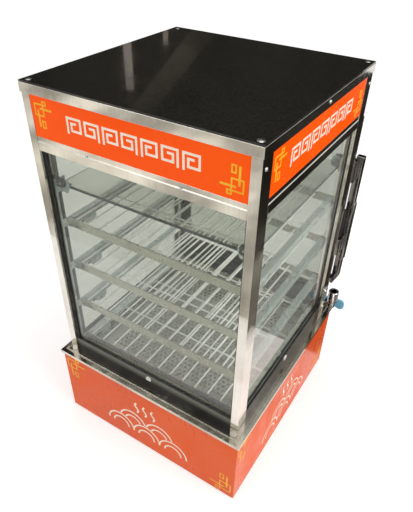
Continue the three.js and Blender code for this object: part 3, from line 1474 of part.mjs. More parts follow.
// Thermostat behind the wall, its spindle through it, and the pointer knob on the spindle
const spindleEnd = baseBack + SPINDLE_REACH;
const thermostatFront = baseBack - BASE_SHEET - CLEARANCE;
add(
  "thermostat_body",
  joined(
    block(
      [THERMOSTAT_X - THERMOSTAT_SIZE / 2, THERMOSTAT_X + THERMOSTAT_SIZE / 2],
      [thermostatFront - THERMOSTAT_DEPTH, thermostatFront],
      [controlZ - THERMOSTAT_SIZE / 2, controlZ + THERMOSTAT_SIZE / 2],
    ),
    rod("y", [thermostatFront - 1, spindleEnd], SPINDLE_RADIUS, [THERMOSTAT_X, controlZ], 16),
  ),
  satinSteel,
);
const knobBack = baseBack + KNOB_GAP;
const knobBore = [knobBack - 1, spindleEnd + KNOB_BORE_GAP];
add(
  "thermostat_knob",
  cut(
    joined(
      rod("y", [knobBack, knobBack + KNOB_SKIRT], KNOB_RADIUS, [THERMOSTAT_X, controlZ], 28),
      extrudeY(
        roundedBar(
          [THERMOSTAT_X - KNOB_GRIP_WIDTH / 2, THERMOSTAT_X + KNOB_GRIP_WIDTH / 2],
          [controlZ - KNOB_RADIUS + 1, controlZ + KNOB_RADIUS - 1],
          3.5,
        ),
        [knobBack + 1, knobBack + KNOB_HEIGHT],
        1,
      ),
    ),
    rod("y", knobBore, SPINDLE_RADIUS + KNOB_BORE_GAP, [THERMOSTAT_X, controlZ], 16),
  ),
  blackPlastic,
);

// Pilot lamp and cord gland, each a turned piece through the rear wall
function turnedThroughWall(profile, x, z, sides) {
  const points = profile.map(([r, out]) => new THREE.Vector2(r, out));
  return new THREE.LatheGeometry(points, sides).translate(x, baseBack, z);
}
add(
  "pilot_lamp",
  turnedThroughWall(
    [
      [0, -PILOT_DEPTH],
      [PILOT_RADIUS, -PILOT_DEPTH],
      [PILOT_RADIUS, CLEARANCE],
      [PILOT_RADIUS + PILOT_FLANGE, CLEARANCE],
      [PILOT_RADIUS + PILOT_FLANGE, PILOT_RISE * 0.4],
      [PILOT_RADIUS * 0.9, PILOT_RISE * 0.6],
      [PILOT_RADIUS * 0.5, PILOT_RISE * 0.92],
      [0, PILOT_RISE],
    ],
    PILOT_X,
    controlZ,
    14,
  ),
  pilotRed,
);
add(
  "cord_gland",
  turnedThroughWall(
    [
      [GLAND_BORE, -GLAND_DEPTH],
      [GLAND_RADIUS, -GLAND_DEPTH],
      [GLAND_RADIUS, CLEARANCE],
      [GLAND_RADIUS + GLAND_FLANGE, CLEARANCE],
      [GLAND_RADIUS + GLAND_FLANGE, GLAND_REACH * 0.35],
      [GLAND_RADIUS, GLAND_REACH * 0.46],
      [(GLAND_RADIUS + GLAND_BORE) / 2, GLAND_REACH],
      [GLAND_BORE, GLAND_REACH],
      [GLAND_BORE, -GLAND_DEPTH],
    ],
    GLAND_X,
    glandZ,
    12,
  ),
  blackPlastic,
);

// The part's frame: the origin is the middle of the footprint's box, on the surface it stands on
const reachRight = Math.max(rimX, VALVE_X + WING_SPAN / 2);
const reachBack = Math.max(rimBack, wingY[1] + WING_HUB_RISE, pullInner + PULL_THICKNESS);
cabinet.position.set((rimX - reachRight) / 2, -(rimFront + reachBack) / 2, 0);
const displayCase = new THREE.Group();
displayCase.add(cabinet);

export default displayCase;
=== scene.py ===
"""Looks of a countertop hot food display case: materials, painted ornament, screws and a plain studio."""
import json
import math

import bmesh
import bpy
from mathutils import Matrix, Vector
from mathutils.bvhtree import BVHTree


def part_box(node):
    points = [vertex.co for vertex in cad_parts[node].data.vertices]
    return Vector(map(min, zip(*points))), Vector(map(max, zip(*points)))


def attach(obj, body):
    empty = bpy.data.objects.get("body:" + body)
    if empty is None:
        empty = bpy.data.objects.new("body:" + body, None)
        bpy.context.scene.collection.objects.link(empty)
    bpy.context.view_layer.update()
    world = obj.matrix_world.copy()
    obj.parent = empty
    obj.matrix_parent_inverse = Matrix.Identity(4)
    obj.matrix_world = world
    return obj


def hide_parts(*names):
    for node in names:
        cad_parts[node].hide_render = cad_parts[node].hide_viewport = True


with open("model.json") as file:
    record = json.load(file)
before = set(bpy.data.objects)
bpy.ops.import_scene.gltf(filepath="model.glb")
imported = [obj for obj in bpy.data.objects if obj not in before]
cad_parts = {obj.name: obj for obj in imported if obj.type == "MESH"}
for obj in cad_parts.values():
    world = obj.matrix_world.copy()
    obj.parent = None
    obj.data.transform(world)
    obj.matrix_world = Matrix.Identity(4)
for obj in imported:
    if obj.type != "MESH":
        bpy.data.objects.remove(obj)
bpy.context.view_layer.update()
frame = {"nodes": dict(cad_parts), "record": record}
nodes = frame["nodes"]
MM = 0.001
UP = (0, 0, 1)
BACKWARDS = (0, 1, 0)
LEVELS = (1, 2, 3, 4)
SIDES = {"right": 1, "left": -1}


# Shader helpers
def tone(code):
    """A colour written as six hex digits, as linear light with full alpha."""
    channels = [int(code[i:i + 2], 16) / 255 for i in (0, 2, 4)]
    linear = [c / 12.92 if c <= 0.04045 else ((c + 0.055) / 1.055) ** 2.4 for c in channels]
    return (*linear, 1.0)


def put(tree, kind, options=None, **sockets):
    """A shader node with its options set and its sockets given a value or a link."""
    made = tree.nodes.new("ShaderNode" + kind)
    for key, value in (options or {}).items():
        setattr(made, key, value)
    for key, value in sockets.items():
        connect(tree, value, made.inputs[key.replace("_", " ")])
    return made


def connect(tree, value, socket):
    """Links a socket to another node's output, or sets it where the value is a plain one."""
    if isinstance(value, bpy.types.NodeSocket):
        tree.links.new(value, socket)
    else:
        socket.default_value = value


def calc(tree, operation, a, b=0.0, clamp=False):
    """The result of a maths node on two numbers or links."""
    made = tree.nodes.new("ShaderNodeMath")
    made.operation = operation
    made.use_clamp = clamp
    connect(tree, a, made.inputs[0])
    connect(tree, b, made.inputs[1])
    return made.outputs[0]


# Places of the colour sockets of a mix node
MIX_FROM = 6
MIX_TO = 7
MIX_RESULT = 2


def mix_colours(tree, factor, a, b):
    """The first colour where the factor is nought and the second where it is one."""
    made = tree.nodes.new("ShaderNodeMix")
    made.data_type = "RGBA"
    connect(tree, factor, made.inputs[0])
    connect(tree, a, made.inputs[MIX_FROM])
    connect(tree, b, made.inputs[MIX_TO])
    return made.outputs[MIX_RESULT]


def spread(tree, value, low, high, start=0.0, end=1.0):
    """A value from one range carried to another, smoothly and without leaving it."""
    made = put(
        tree, "MapRange", {"interpolation_type": "SMOOTHSTEP"},
        From_Min=low, From_Max=high, To_Min=start, To_Max=end,
    )
    connect(tree, value, made.inputs[0])
    return made.outputs[0]


def noise(tree, coordinates, scale, detail, roughness=0.55, stretch=(1, 1, 1)):
    """Cloudy values around a half, with so many patches to the metre.

    A stretch below one draws the patches out along its axis.
    """
    mapped = put(tree, "Mapping", Vector=coordinates, Scale=stretch)
    made = put(
        tree, "TexNoise",
        Vector=mapped.outputs[0], Scale=scale, Detail=detail, Roughness=roughness,
    )
    return made.outputs[0]


DUST = tone("8d887e")
# How much dust and wear add to the roughness, and how far the grain takes on the deep tone
DUST_ROUGHNESS = 0.5
WEAR_ROUGHNESS = 0.15
GRAIN_TINT = 0.35
# Noise values between which each effect comes in
PATCH_RANGE = (0.32, 0.68)
GRAIN_RANGE = (0.35, 0.75)
CLOUD_RANGE = (0.35, 0.7)
WIPE_RANGE = (0.52, 0.66)
DUST_RANGE = (0.3, 0.8)
WEAR_RANGE = (0.42, 0.62)
# How far the normal points up where dust comes in, and how well rounded and true normal agree at an edge
DUST_SLOPE = (0.6, 1.0)
EDGE_SLOPE = (0.98, 0.86)
# The roughness changes in smaller patches than the colour, by this factor
ROUGHNESS_PATCHES = 2.7
# Slow waves of a thin sheet and streaks left by a cloth, to the metre
RIPPLES = 7
WIPES = 14


def wipe_marks(tree, place, amount):
    """Roughness that a cloth leaves, in streaks that run up and down."""
    wiped = noise(tree, place, WIPES, detail=7.0, roughness=0.75, stretch=(1.0, 1.0, 0.12))
    return spread(tree, wiped, *WIPE_RANGE, 0.0, amount)


def settled_dust(tree, fine, amount):
    """The dust at each point: uneven, and none where the surface doesn't look up."""
    up = put(tree, "SeparateXYZ", Vector=put(tree, "NewGeometry").outputs["Normal"]).outputs[2]
    uneven = spread(tree, fine, *DUST_RANGE)
    settled = calc(tree, "MULTIPLY", spread(tree, up, *DUST_SLOPE), uneven)
    return calc(tree, "MULTIPLY", settled, amount, True)


def worn_edges(tree, fine, width):
    """One along the edges, broken up by the grain, and nought on the flat."""
    rounded = put(tree, "Bevel", {"samples": 4}, Radius=width * MM)
    flat = put(tree, "NewGeometry").outputs["Normal"]
    meeting = put(tree, "VectorMath", {"operation": "DOT_PRODUCT"})
    connect(tree, rounded.outputs[0], meeting.inputs[0])
    connect(tree, flat, meeting.inputs[1])
    edge = spread(tree, meeting.outputs["Value"], *EDGE_SLOPE)
    return calc(tree, "MULTIPLY", edge, spread(tree, fine, *WEAR_RANGE), True)


def surface(
    name, pale, deep, rough, grain, bump, depth, stretch=(1, 1, 1), patch=9, ripple=0.0,
    wear=None, wear_width=0.8, dust=0.0, marks=0.0, fade=None, fixed=None,
):
    """A material with patches of colour, grain, worn edges, settled dust and wipe marks.

    rough is its lowest and highest roughness. grain and patch are the number of grains and of
    patches to the metre. depth and ripple are the heights of the grain and of slow waves, and
    wear_width is the width of the worn edges, all three in millimetres. wear is the colour of
    these edges. fade is (axis, start, end, colour) for a colour that comes in along an axis, in
    metres. fixed holds the shader's own values that are alike all over.
    """
    material = bpy.data.materials.new(name)
    material.use_nodes = True
    tree = material.node_tree
    shader = tree.nodes["Principled BSDF"]
    for key, value in (fixed or {}).items():
        shader.inputs[key].default_value = value
    place = put(tree, "TexCoord").outputs["Object"]
    patches = spread(tree, noise(tree, place, patch, detail=5.0), *PATCH_RANGE)
    fine = noise(tree, place, grain, detail=6.0, roughness=0.6, stretch=stretch)
    colour = mix_colours(tree, patches, deep, pale)
    tint = spread(tree, fine, *GRAIN_RANGE, 0.0, GRAIN_TINT)
    colour = mix_colours(tree, tint, colour, deep)
    if fade:
        axis, start, end, far_colour = fade
        along = put(tree, "SeparateXYZ", Vector=place).outputs[axis]
        colour = mix_colours(tree, spread(tree, along, start, end), colour, far_colour)
    cloud = noise(tree, place, patch * ROUGHNESS_PATCHES, detail=6.0, roughness=0.7)
    roughness = spread(tree, spread(tree, cloud, *CLOUD_RANGE), 0.0, 1.0, *rough)
    if marks:
        roughness = calc(tree, "ADD", roughness, wipe_marks(tree, place, marks), True)
    if dust:
        settled = settled_dust(tree, fine, dust)
        colour = mix_colours(tree, settled, colour, DUST)
        dulled = calc(tree, "MULTIPLY", settled, DUST_ROUGHNESS)
        roughness = calc(tree, "ADD", roughness, dulled, True)
    if wear:
        edge = worn_edges(tree, fine, wear_width)
        colour = mix_colours(tree, edge, colour, wear)
        scuffed = calc(tree, "MULTIPLY", edge, WEAR_ROUGHNESS)
        roughness = calc(tree, "ADD", roughness, scuffed, True)
    connect(tree, colour, shader.inputs["Base Color"])
    connect(tree, roughness, shader.inputs["Roughness"])
    raised = put(tree, "Bump", Strength=bump, Distance=depth * MM, Height=fine)
    if ripple:
        swell = noise(tree, place, RIPPLES, detail=2.0, roughness=0.4)
        raised = put(
            tree, "Bump", Strength=1.0, Distance=ripple * MM,
            Height=swell, Normal=raised.outputs[0],
        )
    connect(tree, raised.outputs[0], shader.inputs["Normal"])
    return material


# Metals
mirror_steel = surface(
    "polished_steel", tone("e4e0d8"), tone("c9c3b8"), (0.05, 0.14), grain=420,
    stretch=(1, 1, 0.04), bump=0.05, depth=0.02, ripple=0.35, marks=0.04,
    wear=tone("f4f1ea"), fixed={"Metallic": 1.0},
)
rim_steel = surface(
    "rim_steel", tone("cdc7bb"), tone("a19a8d"), (0.06, 0.2), grain=260,
    stretch=(0.08, 0.08, 1), bump=0.08, depth=0.03, ripple=0.3, marks=0.12,
    wear=tone("efebe2"), dust=0.06, fixed={"Metallic": 1.0},
)
satin_steel = surface(
    "satin_steel", tone("c9cbc6"), tone("9fa29d"), (0.24, 0.42), grain=520,
    stretch=(0.05, 1, 1), bump=0.18, depth=0.03, marks=0.15, wear=tone("dcdcd6"),
    fixed={"Metallic": 1.0},
)
# The steel wires are painted white, and made almost without metal further down, as painted sheen in place
# of their glint
wire_steel = surface(
    "bright_wire", tone("ffffff"), tone("f4f5f2"), (0.22, 0.38), grain=600,
    stretch=(1, 0.05, 1), bump=0.1, depth=0.02, fixed={"Metallic": 1.0},
)
# The flat bars reach this far in from a shelf's front and rear, in millimetres
BAR_DEPTH = 2.6
BAR_COLOUR = tone("bdbbb0")
BAR_METALLIC = 0.9
WIRE_METALLIC = 0.04


def set_bars_apart(material, low, high):
    """Gives a shelf's flat bars a satin metal, and leaves its wires pale, as painted sheen, so that they
    stand out.
    """
    tree = material.node_tree
    shader = tree.nodes["Principled BSDF"]
    along = put(tree, "SeparateXYZ", Vector=put(tree, "TexCoord").outputs["Object"]).outputs[1]
    from_middle = calc(tree, "ABSOLUTE", calc(tree, "SUBTRACT", along, (low + high) / 2))
    bar = calc(tree, "GREATER_THAN", from_middle, (high - low) / 2 - BAR_DEPTH * MM)
    wire_colour = shader.inputs["Base Color"].links[0].from_socket
    connect(tree, mix_colours(tree, bar, wire_colour, BAR_COLOUR), shader.inputs["Base Color"])
    metallic = spread(tree, bar, 0.0, 1.0, WIRE_METALLIC, BAR_METALLIC)
    connect(tree, metallic, shader.inputs["Metallic"])


# All four shelves have their front and their rear at the same places
grille_low, grille_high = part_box("shelf_1")
set_bars_apart(wire_steel, grille_low.y, grille_high.y)
rack_steel = surface(
    "rack_steel", tone("c9d3d1"), tone("b8c3c1"), (0.25, 0.4), grain=300,
    stretch=(1, 0.05, 1), bump=0.12, depth=0.03, wear=tone("e8eceb"), fixed={"Metallic": 0.45},
)
steam_steel = surface(
    "steam_steel", tone("c3c4ba"), tone("a3a59b"), (0.25, 0.42), grain=300, patch=20,
    bump=0.12, depth=0.03, wear=tone("e9eae4"), fixed={"Metallic": 0.45},
)
tank_steel = surface(
    "tank_steel", tone("b4b5b0"), tone("7f807a"), (0.25, 0.5), grain=200, patch=16,
    bump=0.2, depth=0.04, dust=0.2, fixed={"Metallic": 1.0},
)
# The pull's steel is painted darker than the other polished steel, as a painted reflection of dark
# surroundings
pull_steel = surface(
    "pull_steel", tone("9c9a97"), tone("706e6b"), (0.08, 0.24), grain=420, patch=24,
    stretch=(1, 1, 0.04), bump=0.06, depth=0.02, ripple=0.3, marks=0.1, wear=tone("e6e4df"),
    fixed={"Metallic": 1.0},
)
chrome_plate = surface(
    "chrome_plate", tone("e9e9ea"), tone("bfc0c2"), (0.04, 0.16), grain=300, patch=40,
    bump=0.06, depth=0.02, wear=tone("c6b28a"), wear_width=0.5, fixed={"Metallic": 1.0},
)
screw_metal = surface(
    "screw_metal", tone("f4f3ef"), tone("c4c2bc"), (0.1, 0.3), grain=900, patch=120,
    bump=0.1, depth=0.02, fixed={"Metallic": 0.6},
)

# Paints and plastics
roof_black = surface(
    "black_roof", tone("15140f"), tone("0b0a08"), (0.03, 0.11), grain=380, patch=5,
    bump=0.03, depth=0.02, ripple=0.5, dust=0.1, marks=0.06, wear=tone("3a3a38"),
    fixed={"Coat Weight": 0.6, "Coat Roughness": 0.03, "Specular IOR Level": 0.5},
)
sill_black = surface(
    "black_sill", tone("121211"), tone("0a0a09"), (0.04, 0.16), grain=300, patch=14,
    bump=0.04, depth=0.02, dust=0.03, marks=0.08, wear=tone("55544f"),
    fixed={"Specular IOR Level": 0.42},
)
# The front sill turns grey towards its top, as a painted reflection, from this height above its foot, in
# millimetres
PAINTED_REFLECTION_RISE = 9
front_sill_low, front_sill_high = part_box("sill_front")
front_sill_black = surface(
    "front_sill", tone("0f0f0e"), tone("090908"), (0.05, 0.2), grain=300, patch=14,
    bump=0.04, depth=0.02, dust=0.03, marks=0.08, wear=tone("55544f"),
    fade=(2, front_sill_low.z + PAINTED_REFLECTION_RISE * MM, front_sill_high.z, tone("7c7d73")),
    fixed={"Specular IOR Level": 0.2},
)
# The sign glows faintly in its own orange, a painted glow, though it holds no lamp
sign_orange = surface(
    "sign_orange", tone("ff5a00"), tone("fa5000"), (0.16, 0.3), grain=700, patch=4,
    bump=0.03, depth=0.02, marks=0.08,
    fixed={
        "Specular IOR Level": 0.14, "Emission Color": tone("ff5a00"), "Emission Strength": 0.12,
    },
)
base_orange = surface(
    "vermilion_enamel", tone("f05f14"), tone("e2520c"), (0.26, 0.42), grain=260, patch=3.5,
    bump=0.12, depth=0.05, marks=0.1, wear=tone("f2a184"), wear_width=0.9,
    fixed={"Specular IOR Level": 0.2},
)
cream_ink = surface(
    "cream_ink", tone("fff4e2"), tone("f6e6cf"), (0.3, 0.45), grain=500, patch=30,
    bump=0.1, depth=0.02, fixed={"Specular IOR Level": 0.3},
)
yellow_ink = surface(
    "yellow_ink", tone("ffc42e"), tone("f6ad18"), (0.3, 0.45), grain=500, patch=30,
    bump=0.1, depth=0.02, fixed={"Specular IOR Level": 0.3},
)
black_rubber = surface(
    "black_rubber", tone("1d1d1c"), tone("101010"), (0.5, 0.75), grain=900, patch=30,
    bump=0.3, depth=0.05, dust=0.25,
)
black_plastic = surface(
    "black_plastic", tone("232325"), tone("161617"), (0.32, 0.5), grain=1400, patch=30,
    bump=0.35, depth=0.05, wear=tone("4a4a4c"),
)
red_plastic = surface(
    "red_plastic", tone("d8321f"), tone("b82414"), (0.12, 0.25), grain=800, patch=60,
    bump=0.1, depth=0.02, wear=tone("ef8a78"), fixed={"Coat Weight": 0.3},
)
wing_blue = surface(
    "blue_coating", tone("86d2ea"), tone("66bddb"), (0.28, 0.48), grain=500, patch=60,
    bump=0.2, depth=0.05, wear=tone("d8dcdc"), wear_width=0.9,
)
lamp_white = surface(
    "lamp_white", tone("f5f4ee"), tone("e6e4da"), (0.2, 0.35), grain=300, patch=20,
    bump=0.05, depth=0.02,
)
holder_white = surface(
    "holder_white", tone("ecebe4"), tone("d9d7cd"), (0.35, 0.55), grain=900, patch=30,
    bump=0.2, depth=0.04, wear=tone("ffffff"),
)
dark_mark = surface(
    "dark_mark", tone("2b2a28"), tone("1c1b1a"), (0.4, 0.6), grain=500, patch=40,
    bump=0.1, depth=0.02,
)
clear_glass = surface(
    "clear_glass", tone("daddd6"), tone("d3d6cf"), (0.0, 0.035), grain=60, patch=6,
    bump=0.02, depth=0.01, marks=0.03,
    fixed={"Transmission Weight": 1.0, "IOR": 1.46},
)

by_slot = {
    "mirror_steel": mirror_steel,
    "dark_steel": sill_black,
    "black_roof": roof_black,
    "sign_orange": sign_orange,
    "clear_glass": clear_glass,
    "black_rubber": black_rubber,
    "satin_steel": satin_steel,
    "orange_enamel": base_orange,
    "chrome_plate": chrome_plate,
    "blue_coating": wing_blue,
    "black_plastic": black_plastic,
    "red_plastic": red_plastic,
    "lamp_glass": lamp_white,
    "white_plastic": holder_white,
}
by_node = {
    "rim_tray": rim_steel,
    "door_pull": pull_steel,
    "water_tank": tank_steel,
    "base_bottom_plate": tank_steel,
    "sill_front": front_sill_black,
    **{f"shelf_{level}": wire_steel for level in LEVELS},
    **{f"shelf_rack_{side}": rack_steel for side in SIDES},
}

# Meshes of the model: merged, shaded by angle and with slightly rounded edges
# Distances are in millimetres and angles in degrees
MERGE_DISTANCE = 0.01
SMOOTH_BELOW = 38
FLAT_BELOW = 0.4
ROUNDED_ABOVE = 32
EDGE_WIDTH = 0.25
edge_widths = {
    "door_pull": 0.8,
    "roof_panel": 0.4,
    "base_housing": 0.5,
    "pull_grip": 0.6,
    "roof_lid": 0.35,
}


def shading_group():
    """A modifier's nodes that merge a mesh and shade it smooth where its faces nearly meet flat."""
    group = bpy.data.node_groups.new("smooth_by_angle", "GeometryNodeTree")
    group.interface.new_socket("Geometry", in_out="INPUT", socket_type="NodeSocketGeometry")
    group.interface.new_socket("Geometry", in_out="OUTPUT", socket_type="NodeSocketGeometry")
    start = group.nodes.new("NodeGroupInput")
    end = group.nodes.new("NodeGroupOutput")
    link = group.links.new
    # Normals that come with the model are dropped, so that the angle alone decides
    plain = group.nodes.new("GeometryNodeRemoveAttribute")
    plain.inputs["Name"].default_value = "custom_normal"
    merge = group.nodes.new("GeometryNodeMergeByDistance")
    merge.inputs["Distance"].default_value = MERGE_DISTANCE * MM
    smooth = group.nodes.new("GeometryNodeSetShadeSmooth")
    smooth.domain = "FACE"
    soft_edges = group.nodes.new("GeometryNodeSetShadeSmooth")
    soft_edges.domain = "EDGE"
    angle = group.nodes.new("GeometryNodeInputMeshEdgeAngle")
    limit = group.nodes.new("FunctionNodeCompare")
    limit.operation = "LESS_THAN"
    limit.inputs["B"].default_value = math.radians(SMOOTH_BELOW)
    link(start.outputs[0], plain.inputs["Geometry"])
    link(plain.outputs["Geometry"], merge.inputs["Geometry"])
    link(merge.outputs["Geometry"], smooth.inputs["Geometry"])
    link(smooth.outputs["Geometry"], soft_edges.inputs["Geometry"])
    link(angle.outputs["Unsigned Angle"], limit.inputs["A"])
    link(limit.outputs["Result"], soft_edges.inputs["Shade Smooth"])
    link(soft_edges.outputs["Geometry"], end.inputs[0])
    return group


shading = shading_group()


def soften(obj, width, segments=2):
    """Rounds the edges of a mesh a little, with its own faces kept flat."""
    merged = obj.modifiers.new("shade", "NODES")
    merged.node_group = shading
    flat = obj.modifiers.new("flat_faces", "DECIMATE")
    flat.decimate_type = "DISSOLVE"
    flat.angle_limit = math.radians(FLAT_BELOW)
    rounded = obj.modifiers.new("rounded", "BEVEL")
    rounded.width = width * MM
    rounded.segments = segments
    rounded.limit_method = "ANGLE"
    rounded.angle_limit = math.radians(ROUNDED_ABOVE)
    rounded.use_clamp_overlap = True
    rounded.harden_normals = True


# The steam plate isn't softened, because a piece made further down takes its place
slots = {part["node"]: part["material_slot"] for part in frame["record"]["subparts"]}
for name, node in nodes.items():
    node.data.materials.clear()
    node.data.materials.append(by_node.get(name, by_slot[slots[name]]))
    if slots[name] == "clear_glass":
        node.visible_shadow = False
    if name != "steam_plate":
        soften(node, edge_widths.get(name, EDGE_WIDTH))


# Helpers for the pieces made here
def add(name, data):
    """A new object in the scene, made of a mesh, a lamp or a camera."""
    obj = bpy.data.objects.new(name, data)
    bpy.context.scene.collection.objects.link(obj)
    return obj


def own(name, mesh, material, body):
    """A piece of its own that rides on a body and takes the finish that it is given."""
    mesh.materials.append(material)
    obj = add(name, mesh)
    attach(obj, body)
    return obj


def face_frame(origin, across, up):
    """A plane's frame: X runs across it, Y up it and Z out of it."""
    across = Vector(across).normalized()
    up = Vector(up).normalized()
    out = across.cross(up)
    turn = Matrix((across, up, out)).transposed().to_4x4()
    return Matrix.Translation(Vector(origin)) @ turn


def mesh_of(name, vertices, faces):
    """A mesh from its points and its faces."""
    mesh = bpy.data.meshes.new(name)
    mesh.from_pydata([tuple(v) for v in vertices], [], faces)
    mesh.update()
    return mesh


# Painted ornament, as thin raised bands on a face; its sizes are in millimetres
INK_THICKNESS = 0.12
# Each band is thicker than the one before by this share of the thickness
NEXT_BAND = 1 / 20
# At a corner half the width is divided by the cosine of half the turn, but by no less than this
SHARPEST_CORNER = 0.35


def band(points, width, closed):
    """The left and right edges of a line of even width."""
    count = len(points)
    edges = []
    for i, point in enumerate(points):
        here = Vector(point)
        before = Vector(points[i - 1]) if i > 0 or closed else None
        after = Vector(points[(i + 1) % count]) if i < count - 1 or closed else None
        into = (here - before if before is not None else after - here).normalized()
        out = (after - here if after is not None else into).normalized()
        side = Vector((-into.y - out.y, into.x + out.x)).normalized()
        reach = width / 2 / max(SHARPEST_CORNER, side.x * -into.y + side.y * into.x)
        edges.append((here + side * reach, here - side * reach))
    return edges


def ornament(name, lines, frame_matrix, material, body, thickness=INK_THICKNESS):
    """Bands of ink on a face, no two of them equally thick; lines holds (points, width, closed)."""
    vertices = []
    faces = []
    for order, (points, width, closed) in enumerate(lines):
        edges = band(points, width, closed)
        first = len(vertices)
        top = thickness + order * thickness * NEXT_BAND
        for left, right in edges:
            for point, height in ((left, 0), (right, 0), (left, top), (right, top)):
                vertices.append(frame_matrix @ Vector((point.x * MM, point.y * MM, height * MM)))
        spans = len(edges) if closed else len(edges) - 1
        for i in range(spans):
            a = first + 4 * i
            b = first + 4 * ((i + 1) % len(edges))
            faces.append((a + 2, a + 3, b + 3, b + 2))
            faces.append((a, a + 2, b + 2, b))
            faces.append((a + 1, b + 1, b + 3, a + 3))
            faces.append((a, b, b + 1, a + 1))
        if not closed:
            last = first + 4 * (len(edges) - 1)
            faces.append((first, first + 1, first + 3, first + 2))
            faces.append((last + 1, last, last + 2, last + 3))
    own(name, mesh_of(name, vertices, faces), material, body)


# Square corner fret, measured from its corner inwards: (points, width, closed)
FRET = [
    ([(12.2, 19), (12.2, 43)], 3.0, False),
    ([(16, 17), (37, 17)], 2.8, False),
    ([(6.9, 11.5), (22, 11.5), (22, 26.5), (6.9, 26.5)], 2.1, True),
    ([(22, 11.5), (27.4, 11.5), (27.4, 6.6), (22, 6.6)], 2.1, True),
    ([(17.2, 33.8), (22.3, 33.8), (22.3, 42.8), (17.2, 42.8)], 1.9, True),
]
# On the base the frets are larger, and moved outwards so that they stay close to the corner
BASE_FRET_MARGIN = -3
BASE_FRET_SCALE = 1.4

# Square spirals of the sign's border row
SPIRAL = [(0, 0), (0, 22), (22, 22), (22, 5.5), (6.6, 5.5), (6.6, 15.4), (15.2, 15.4)]
SPIRAL_SIZE = 22
SPIRAL_PITCH = 30
SPIRAL_WIDTH = 3.3
SPIRAL_COUNT = 7

# Scallop clouds of nested arcs: the height of their feet, radius, step between two arcs and line width
CLOUD_LOW = 30
CLOUD_RADIUS = 30
CLOUD_STEP = 12
CLOUD_WIDTH = 3.3
ARC_STEPS = 60
# The back scallops stand higher by this share of the radius
BACK_RISE = 0.82

# Curls of steam over the clouds: the first three values are shares of the clouds' radius
STEAM_FOOT = 2.1
STEAM_HEIGHT = 0.85
STEAM_DISTANCE = 0.6
STEAM_SWAY = 3.4
STEAM_WIDTH = CLOUD_WIDTH * 1.1
STEAM_STEPS = 24


def fret_lines(width, height, margin=0.0, scale=1.0):
    """The fret in the upper left corner of a panel and, turned half round, in its lower right one."""
    lines = []
    for points, stroke, closed in FRET:
        upper = [(margin + u * scale, height - margin - v * scale) for u, v in points]
        lower = [(width - x, height - y) for x, y in upper]
        lines += [(upper, stroke, closed), (lower, stroke, closed)]
    return lines


def spiral_lines(width, height):
    """A row of square spirals that stand apart, each the mirror image of the next."""
    lines = []
    start = (width - (SPIRAL_COUNT - 1) * SPIRAL_PITCH - SPIRAL_SIZE) / 2
    low = (height - SPIRAL_SIZE) / 2
    for i in range(SPIRAL_COUNT):
        left = start + i * SPIRAL_PITCH
        turn = (lambda u: u) if i % 2 == 0 else (lambda u: SPIRAL_SIZE - u)
        points = [(left + turn(u), low + v) for u, v in SPIRAL]
        lines.append((points, SPIRAL_WIDTH, False))
    return lines


def arc_runs(centre, reach, hiding):
    """The stretches of a half circle that lie outside the circles in hiding."""
    runs = []
    run = []
    for k in range(ARC_STEPS + 1):
        angle = math.pi * k / ARC_STEPS
        point = (centre[0] + reach * math.cos(angle), centre[1] + reach * math.sin(angle))
        if any(math.dist(point, other) < clear for other, clear in hiding):
            runs.append(run)
            run = []
        else:
            run.append(point)
    runs.append(run)
    return [run for run in runs if len(run) > 2]


def cloud_lines(middle):
    """Three scallops of nested arcs with two more behind them, and curls of steam above."""
    front = [(middle + place * 2 * CLOUD_RADIUS, CLOUD_LOW) for place in (-1, 0, 1)]
    back_low = CLOUD_LOW + CLOUD_RADIUS * BACK_RISE
    back = [(middle + place * CLOUD_RADIUS, back_low) for place in (-1, 1)]
    hiding = [(centre, CLOUD_RADIUS + CLOUD_WIDTH) for centre in front]
    lines = []
    for reach in (CLOUD_RADIUS, CLOUD_RADIUS - CLOUD_STEP):
        for centre in front:
            lines += [(run, CLOUD_WIDTH, False) for run in arc_runs(centre, reach, [])]
        for centre in back:
            lines += [(run, CLOUD_WIDTH, False) for run in arc_runs(centre, reach, hiding)]
    steam_low = CLOUD_LOW + CLOUD_RADIUS * STEAM_FOOT
    for place in (-1, 0, 1):
        foot = middle + place * CLOUD_RADIUS * STEAM_DISTANCE
        wave = []
        for k in range(STEAM_STEPS + 1):
            rise = k / STEAM_STEPS
            sway = STEAM_SWAY * math.sin(rise * 2 * math.pi)
            wave.append((foot + sway, steam_low + rise * CLOUD_RADIUS * STEAM_HEIGHT))
        lines.append((wave, STEAM_WIDTH, False))
    return lines


# The ornament stands this far off the face that it is painted on
LIFT = 0.06 * MM


def faces_of(front, right, left, low):
    """The frames of three faces, just off each and from its lower left corner, with their widths."""
    front_low, front_high = front
    right_low, right_high = right
    left_low, left_high = left
    return {
        "front": (
            face_frame((front_low.x, front_low.y - LIFT, low), (1, 0, 0), UP),
            (front_high.x - front_low.x) / MM,
        ),
        "right": (
            face_frame((right_high.x + LIFT, right_low.y, low), BACKWARDS, UP),
            (right_high.y - right_low.y) / MM,
        ),
        "left": (
            face_frame((left_low.x - LIFT, left_high.y, low), (0, -1, 0), UP),
            (left_high.y - left_low.y) / MM,
        ),
    }


# The signs' ornament is laid out on what shows of them under the lid's lip
sign_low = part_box("sign_front")[0]
lid_low, lid_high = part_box("roof_lid")
sign_height = (lid_low.z - sign_low.z) / MM
sign_faces = faces_of(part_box("sign_front"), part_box("sign_right"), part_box("sign_left"), sign_low.z)
for side, (matrix, width) in sign_faces.items():
    ornament(
        f"sign_{side}_frets", fret_lines(width, sign_height), matrix, yellow_ink,
        "case",
    )
    ornament(
        f"sign_{side}_spirals", spiral_lines(width, sign_height), matrix, cream_ink,
        "case",
    )

